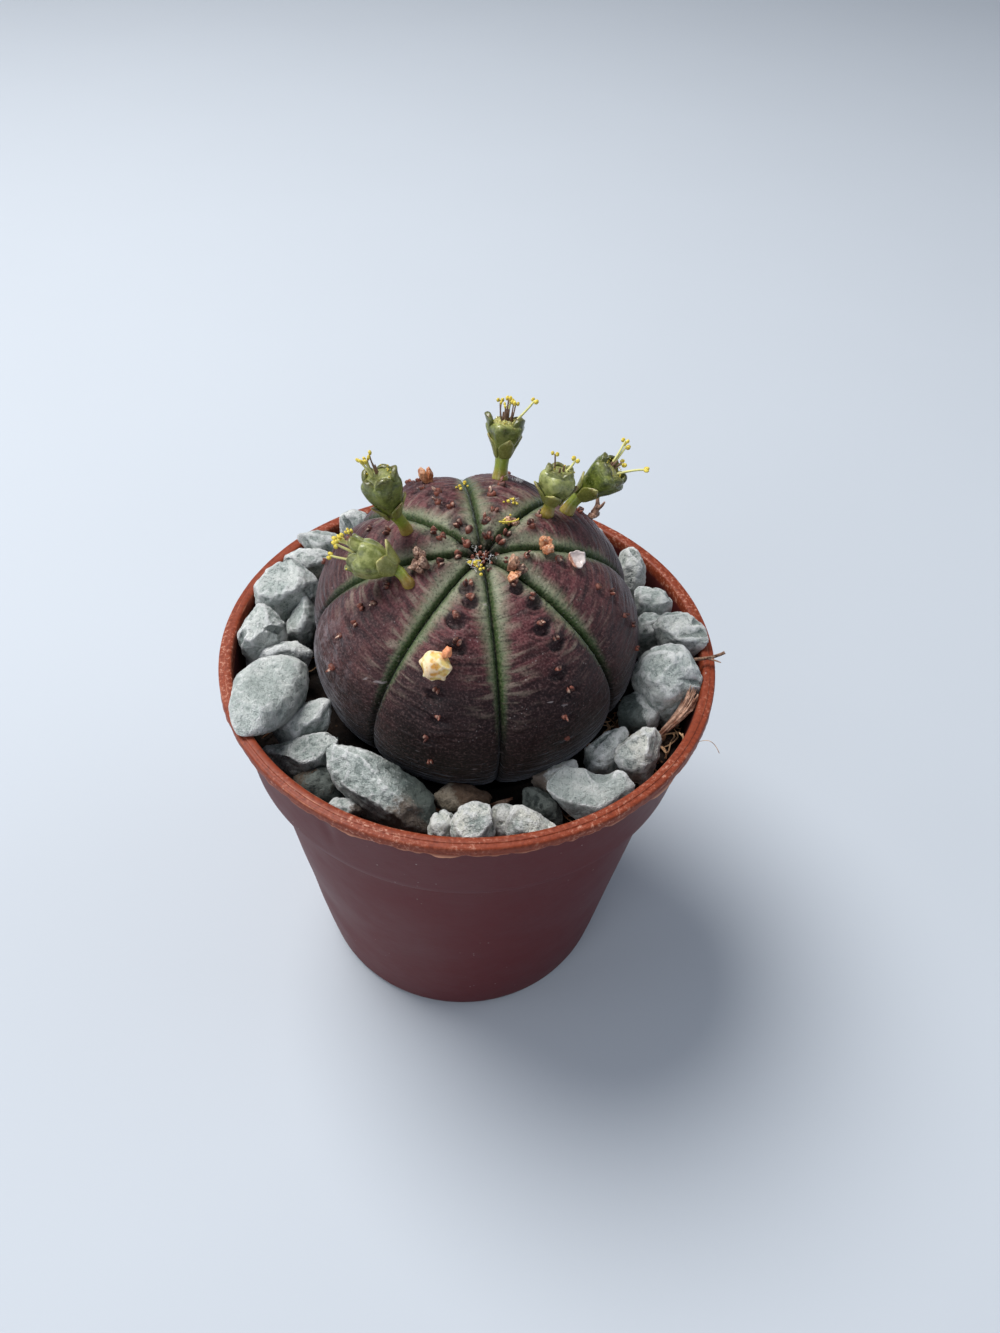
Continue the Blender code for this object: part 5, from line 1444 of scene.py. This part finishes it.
def flowerFinishes():
    green = Finish("flowerGreen", 0.5, 0.5, Coat_Weight=0.25, Coat_Roughness=0.2, Subsurface_Weight=0.08,
                   Subsurface_Radius=(0.002, 0.003, 0.001))
    cloud, grain = green.noise(1.2, 3, 0.6), green.noise(0.22, 3, 0.6)
    tip, bract = green.layer("tip"), green.layer("bract")
    green.colour = green.blend(green.between(cloud, 0.36, 0.64), (51, 63, 15), (98, 108, 36))
    green.coat(green.layer("pale") * green.between(green.noise(0.9, 3, 0.6), 0.38, 0.62, 0.25, 1), (164, 168, 104))
    green.coat(green.layer("young"), green.blend(cloud, (106, 126, 30), (150, 158, 56)))
    green.coat(bract * 0.8, green.blend(cloud, (92, 96, 34), (144, 142, 70)))
    green.coat(green.between(tip * bract, 0.3, 1.0, 0, 0.7),
               green.blend(green.between(cloud, 0.45, 0.55), (122, 78, 42), (186, 178, 112)))
    green.coat(green.layer("ear") * (tip * 0.5 + 0.1), green.blend(cloud, (54, 58, 20), (92, 76, 38)))
    green.coat(green.layer("mouth"),
               green.blend(green.between(grain, 0.35, 0.65), (140, 138, 70), (210, 204, 134)))
    green.coat(green.layer("foot") * 0.85, green.blend(cloud, (128, 82, 40), (184, 150, 70)))
    green.coat(green.patches(0.8, 0.60, 0.72, 3, 0.6) * 0.5, (92, 66, 36))
    green.coat(green.between(grain, 0.50, 0.72, 0, 0.28), (186, 190, 120))
    green.coat(green.between(grain, 0.45, 0.30, 0, 0.28), (40, 48, 14))
    green.show(green.relief(grain, 0.03), green.between(cloud, 0.3, 0.7, 0.26, 0.48))
    thread = Finish("filament", 0.45)
    grain = thread.noise(0.4, 2)
    thread.colour = thread.blend(grain, (206, 206, 120), (228, 222, 158))
    thread.coat(thread.between(thread.layer("dried"), 0.3, 0.7), thread.blend(grain, (88, 60, 48), (150, 118, 96)))
    thread.show(thread.relief(grain, 0.01))
    pollen = cloudyFinish("yellowPollen", 0.75, ((186, 158, 44), (232, 216, 104)), (0.16, 0.35, 0.65, 2, 0.6),
                          (0.16, 2, 0.6), 0.03)
    return green, thread, pollen


bud = {
    "home": (-105.5, 49.5, 0.35),
    "cuts": 20,
    "size": (1.50, 1.62, 1.35),
    # points drawn out of the ball: the way to each, how far and how wide
    "points": ((-1.0, -0.12, 0.1, 0.22, 0.26), (-0.66, -0.92, -0.1, 0.26, 0.20), (0.80, -0.72, 0.0, 0.26, 0.20),
               (0.92, 0.2, 0.2, 0.10, 0.24), (0.05, -0.98, 0.1, 0.08, 0.16)),
    "colours": ((204, 144, 62), (226, 200, 122)),
}


def makeBud():
    place, turn = onSkin(*bud["home"])
    piece = add(bpy.ops.mesh.primitive_ico_sphere_add, subdivisions=5, radius=1)
    points = getPoints(piece)
    chance = np.random.default_rng(12)
    for cut in range(bud["cuts"]):
        points = cutFlat(points, unit(chance.normal(size=3)), chance.uniform(0.76, 0.88), 0.025)
    for *way, pull, width in bud["points"]:
        way = unit(np.array(way))
        angle = np.arccos(np.clip(points @ way / np.linalg.norm(points, axis=1), -1, 1))
        points = points + way * (bell(angle / width) * pull)[:, None]
    outwards = points / np.linalg.norm(points, axis=1)[:, None]
    points += outwards * (0.05 * lumps(points, 0.5, 6, 3))[:, None]
    points *= np.array(bud["size"])
    points[:, 2] = np.maximum(points[:, 2], -1.15)
    setPoints(piece, points)
    paint(piece, "blush", bell(distance(points, np.array((0.75, 1.5, 0.7))) / 0.95))
    near = evened(piece, points, 6)
    paint(piece, "hollow", np.clip(0.5 + np.sum((near - points) * getNormals(piece), axis=1) / 0.08, 0, 1))
    tip = lump((0.40, 0.50, 0.32), 9, 0.6, 0.8, 4)
    tip.data.transform(Matrix.Translation((0.72, 1.55, 0.75)))
    paint(tip, "blush", 1.6)
    paint(tip, "hollow", 0.5)
    piece = joinPieces([piece, tip])
    piece.data.transform(placed(place + turn @ Vector((0, 0, 1.25)), turn))
    finish = Finish("driedBud", 0.5, 0.4, Subsurface_Weight=0.12, Subsurface_Radius=(0.003, 0.002, 0.001))
    hollow = finish.layer("hollow")
    finish.colour = finish.blend(finish.patches(1.5, 0.40, 0.60, 4, 0.6), *bud["colours"])
    finish.coat(finish.patches(0.8, 0.55, 0.68, 4, 0.65) * 0.7, (166, 104, 48))
    finish.coat(finish.between(hollow, 0.52, 0.75, 0, 0.6), (140, 92, 46))
    finish.coat(finish.between(hollow, 0.48, 0.3, 0, 0.5), (246, 240, 214))
    finish.coat(finish.between(finish.layer("blush"), 0.35, 0.8, 0, 0.85), (214, 130, 96))
    finish.show(finish.relief(finish.noise(0.3, 3, 0.6), 0.05))
    finishPiece(piece, "driedBud", finish, "dried_bud")


husk = {
    "home": (5.4, 59.0, 0.75),
    "size": (0.82, 0.92),
    "curl": 0.36,
    "thickness": 0.16,
    "colours": ((172, 154, 150), (220, 210, 206)),
}


def makeHusk():
    # a square made a disc, then curled like a shell
    piece = add(bpy.ops.mesh.primitive_grid_add, x_subdivisions=28, y_subdivisions=28, size=2)
    points = getPoints(piece)
    x, y = points[:, 0], points[:, 1]
    disc = np.stack((x * np.sqrt(1 - y * y / 2), y * np.sqrt(1 - x * x / 2)), 1)
    angle = np.arctan2(disc[:, 1], disc[:, 0])
    disc *= (1 + 0.06 * np.sin(3 * angle + 1) + 0.05 * np.sin(7 * angle))[:, None]
    reach = np.hypot(disc[:, 0], disc[:, 1])
    lift = husk["curl"] * reach ** 2 + 0.12 * np.sin(2 * angle + 0.6) * reach ** 2
    lift = lift + 0.05 * lumps(points * 3, 1.0, 3)
    setPoints(piece, np.stack((disc[:, 0] * husk["size"][0], disc[:, 1] * husk["size"][1], lift - 0.1), 1))
    modify(piece, "SOLIDIFY", thickness=husk["thickness"], offset=0)
    paint(piece, "stain", easeStep(-0.15, -0.7, getPoints(piece)[:, 0]))
    place, turn = onSkin(*husk["home"])
    towards = turn @ Vector((0, 0, 1)) * 0.55 + Vector(viewNear) * 0.8 + Vector((-0.15, 0, 0))
    piece.data.transform(placed(place, facing(towards) @ Matrix.Rotation(0.35, 3, "Z")))
    finish = Finish("pearlyHusk", 0.32, 0.55, Subsurface_Weight=0.2, Subsurface_Radius=(0.002, 0.002, 0.002),
                    Coat_Weight=0.3, Coat_Roughness=0.25)
    cloud = finish.noise(0.9, 3, 0.6)
    finish.colour = finish.blend(cloud, *husk["colours"])
    finish.coat(finish.between(finish.layer("stain") + (cloud - 0.5) * 0.6, 0.2, 0.8, 0, 0.8), (164, 92, 50))
    finish.show(finish.relief(finish.noise(0.3, 2), 0.03))
    finishPiece(piece, "paleHusk", finish, "seed_husk")


oldStalks = {
    "lift": 0.1,
    "grow": 1.15,
    "cuts": 11,
    # azimuth and latitude, then lumps: across, up the rib, off it, half sizes, how orange
    "lumps": {
        "orangeCurl": (11.9, 69.2, (
            (-0.30, 0.05, 0.7, (0.58, 0.46, 0.72), 1.0), (0.50, 0.35, 0.9, (0.45, 0.40, 0.68), 1.0),
            (0.1, -0.35, 0.6, (0.6, 0.5, 0.6), 0.8), (0.75, -0.3, 0.7, (0.35, 0.35, 0.6), 0.9))),
        "tanCluster": (-33, 78, (
            (-0.75, -0.3, 0.7, (0.62, 0.55, 0.75), 0.9), (0.35, 0.45, 0.9, (0.60, 0.55, 0.85), 0.45),
            (0.75, -0.45, 0.55, (0.5, 0.5, 0.6), 0.25), (-0.1, -0.6, 0.9, (0.4, 0.35, 0.5), 0.6))),
        "brownCluster": (-163, 70, (
            (-0.6, 0.1, 0.9, (0.55, 0.5, 0.85), 0.25), (0.5, 0.35, 1.1, (0.6, 0.5, 0.8), 0.15),
            (0.15, -0.55, 0.6, (0.65, 0.55, 0.7), 0.3), (0.85, -0.2, 0.6, (0.4, 0.4, 0.7), 0.3),
            (-0.2, 0.5, 1.5, (0.4, 0.35, 0.5), 0.1))),
        "backStub": (120, 45, (
            (-0.3, 0.1, 0.7, (0.45, 0.42, 0.8), 0.85), (0.35, 0.1, 0.9, (0.42, 0.4, 0.85), 0.7),
            (0.1, -0.4, 0.4, (0.5, 0.4, 0.5), 0.5))),
        "smallCluster": (59, 72.5, (
            (-0.35, 0, 0.45, (0.4, 0.38, 0.5), 0.4), (0.4, 0.15, 0.5, (0.4, 0.36, 0.5), 0.5),
            (0, -0.4, 0.35, (0.4, 0.36, 0.4), 0.3))),
        "forkedStub": (44, 26, (
            (0, 0, 0.5, (0.5, 0.45, 0.6), 0.15), (0.3, 0.2, 1.0, (0.4, 0.35, 0.6), 0.2))),
    },
    # the fork of the last one: where it stands, then knots: across, up, off, half width
    "fork": (44, 26, 0.6),
    "prongs": (((0, 0, 0, 0.34), (0.1, 0.5, 0.9, 0.30), (0.5, 1.0, 1.5, 0.22), (1.1, 1.2, 2.0, 0.12)),
               ((0.1, 0.5, 0.9, 0.26), (-0.3, 1.1, 1.5, 0.2), (-0.4, 1.6, 1.8, 0.1))),
    "brown": ((92, 60, 50), (170, 134, 114)),
    "orange": ((170, 98, 58), (216, 158, 116)),
}


def makeOldStalks():
    pieces = []
    chance = np.random.default_rng(77)
    for number, (azimuth, latitude, parts) in enumerate(oldStalks["lumps"].values()):
        place, turn = onSkin(azimuth, latitude, oldStalks["lift"])
        for part, (across, up, off, size, orange) in enumerate(parts):
            # dry and papery: flat flakes with sharp folds between them
            piece = lump((1, 1, 1), 20 + 5 * number + part, 0.34, 1.0, 4)
            points = getPoints(piece)
            folds = 0.65 * (0.3 - np.abs(lumps(points, 0.9, part + 9)))
            folds = folds - 0.30 * np.abs(lumps(points, 0.45, part + 4))
            points = points * (1 + folds)[:, None]
            for cut in range(oldStalks["cuts"]):
                points = shave(points, unit(chance.normal(size=3)), chance.uniform(0.10, 0.34), 0.02)
            points = points * np.array(size) * oldStalks["grow"]
            setPoints(piece, points)
            paint(piece, "orange", orange)
            # top marks each flake's upper side, for pale flecks that are partly a painted highlight
            paint(piece, "top", easeStep(0.0, size[2], points[:, 2]))
            tilt = Matrix.Rotation(across * 0.5, 3, "Y") @ Matrix.Rotation(-up * 0.5, 3, "X")
            piece.data.transform(placed(place + turn @ Vector((across, up, off)), turn @ tilt))
            pieces.append(piece)
    body = joinPieces(pieces)
    place, turn = onSkin(*oldStalks["fork"])
    twigs = wires([[(place + turn @ Vector(knot), width) for *knot, width in prong]
                   for prong in oldStalks["prongs"]], 3, 6)
    roughen(twigs, 0.08, 0.5, 3)
    paint(twigs, "orange", 0.1)
    paint(twigs, "top", 0.3)
    finish = Finish("oldStalk", 0.5, 0.45, Subsurface_Weight=0.06, Subsurface_Radius=(0.002, 0.001, 0.001))
    cloud, grain = finish.noise(0.8, 3, 0.6), finish.noise(0.22, 3, 0.6)
    brown, orange = (finish.blend(finish.between(cloud, 0.36, 0.64), *oldStalks[name])
                     for name in ("brown", "orange"))
    share = finish.between(finish.layer("orange") + (cloud - 0.5) * 0.5, 0.3, 0.75)
    finish.colour = finish.blend(share, brown, orange)
    # pale papery flecks on the tops, partly a painted highlight
    finish.coat(finish.layer("top") * finish.between(grain, 0.46, 0.62) * 0.6, (222, 190, 166))
    finish.coat(finish.between(grain, 0.42, 0.30, 0, 0.6), (52, 30, 24))
    finish.show(finish.relief(grain, 0.05))
    finishPiece(joinPieces([body, twigs]), "oldStalks", finish)


fluff = {
    # pollen on the skin: azimuth, latitude, size, how many grains
    "pollen": ((-116, 84.5, 1.5, 7), (-100, 84.0, 1.3, 5), (106, 56.4, 1.3, 7), (70, 65.3, 1.2, 6),
               (70, 63.6, 1.0, 4), (66, 76, 1.0, 3), (64, 73.5, 0.9, 2)),
    # hairs round the crown and at the feet of flowers: azimuth, latitude, how many, spread, length
    "hairs": ((-108, 84.5, 30, 0.7, 0.45), (-60, 86.5, 12, 0.6, 0.4), (84, 45.5, 60, 0.6, 0.45),
              (76, 47.5, 30, 0.45, 0.4), (70, 64.5, 8, 0.4, 0.35), (150, 86, 8, 0.6, 0.35)),
    # a curved yellow thread in a groove: where it lies, its knots, its radius
    "thread": ((62, 74, 0.5), ((-0.7, -0.9, 0.0), (-0.9, -0.1, 0.3), (-0.4, 0.7, 0.4), (0.5, 1.2, 0.3)), 0.09),
    "colours": ((206, 204, 206), (238, 236, 234)),
}


def makeFluff(pollen):
    chance = random.Random(31)
    grain = lump((0.2, 0.17, 0.18), 4, 0.2, 0.6, 1)
    copies = []
    for azimuth, latitude, size, count in fluff["pollen"]:
        place, turn = onSkin(azimuth, latitude, 0.25)
        for number in range(count):
            shift = Vector([chance.gauss(0, 0.26 * size) for axis in range(2)] + [chance.uniform(0, 0.35)])
            copies.append(copyTo(grain, placed(place + turn @ shift, turn, size * chance.uniform(0.5, 0.95))))
    throwAway(grain)
    finishPiece(joinPieces(copies), "fallenPollen", pollen)
    paths = []
    for azimuth, latitude, count, spread, length in fluff["hairs"]:
        place, turn = onSkin(azimuth, latitude, 0.15)
        for number in range(count):
            start = place + turn @ Vector((chance.gauss(0, spread * 0.6), chance.gauss(0, spread * 0.5), 0.05))
            way = turn @ Vector((chance.uniform(-1, 1), chance.uniform(-1, 1), chance.uniform(0.2, 1)))
            bow = turn @ Vector((chance.uniform(-0.4, 0.4), chance.uniform(-0.4, 0.4), 0.2))
            paths.append([(start, 0.022), (start + way * length * 0.5 + bow * 0.5, 0.02),
                          (start + way * length, 0.014)])
    white = Finish("whiteFluff", 0.9, Sheen_Weight=0.4)
    white.colour = white.blend(white.noise(0.5, 2), *fluff["colours"])
    white.show()
    finishPiece(wires(paths, 0, 3), "whiteFluff", white)
    home, knots, radius = fluff["thread"]
    place, turn = onSkin(*home)
    thread = wires([[(place + turn @ Vector(knot), radius) for knot in knots]])
    finishPiece(thread, "yellowThread", pollen)


print("camera, floor and lights")
setCamera()
setStudio()
print("pot")
makePot()
print("plant")
makeSkin()
makeTubercleScales()
print("gravel")
makeGravel()
print("soil and litter")
makeSoil()
makeLitter()
print("wood")
makeWood()
print("flowers")
*flowerLooks, pollenLook = flowerFinishes()
for number, node in enumerate(flowers, 1):
    makeFlower(node, number, *flowerLooks, pollenLook)
print("what lies on the plant")
makeBud()
makeHusk()
makeOldStalks()
makeFluff(pollenLook)
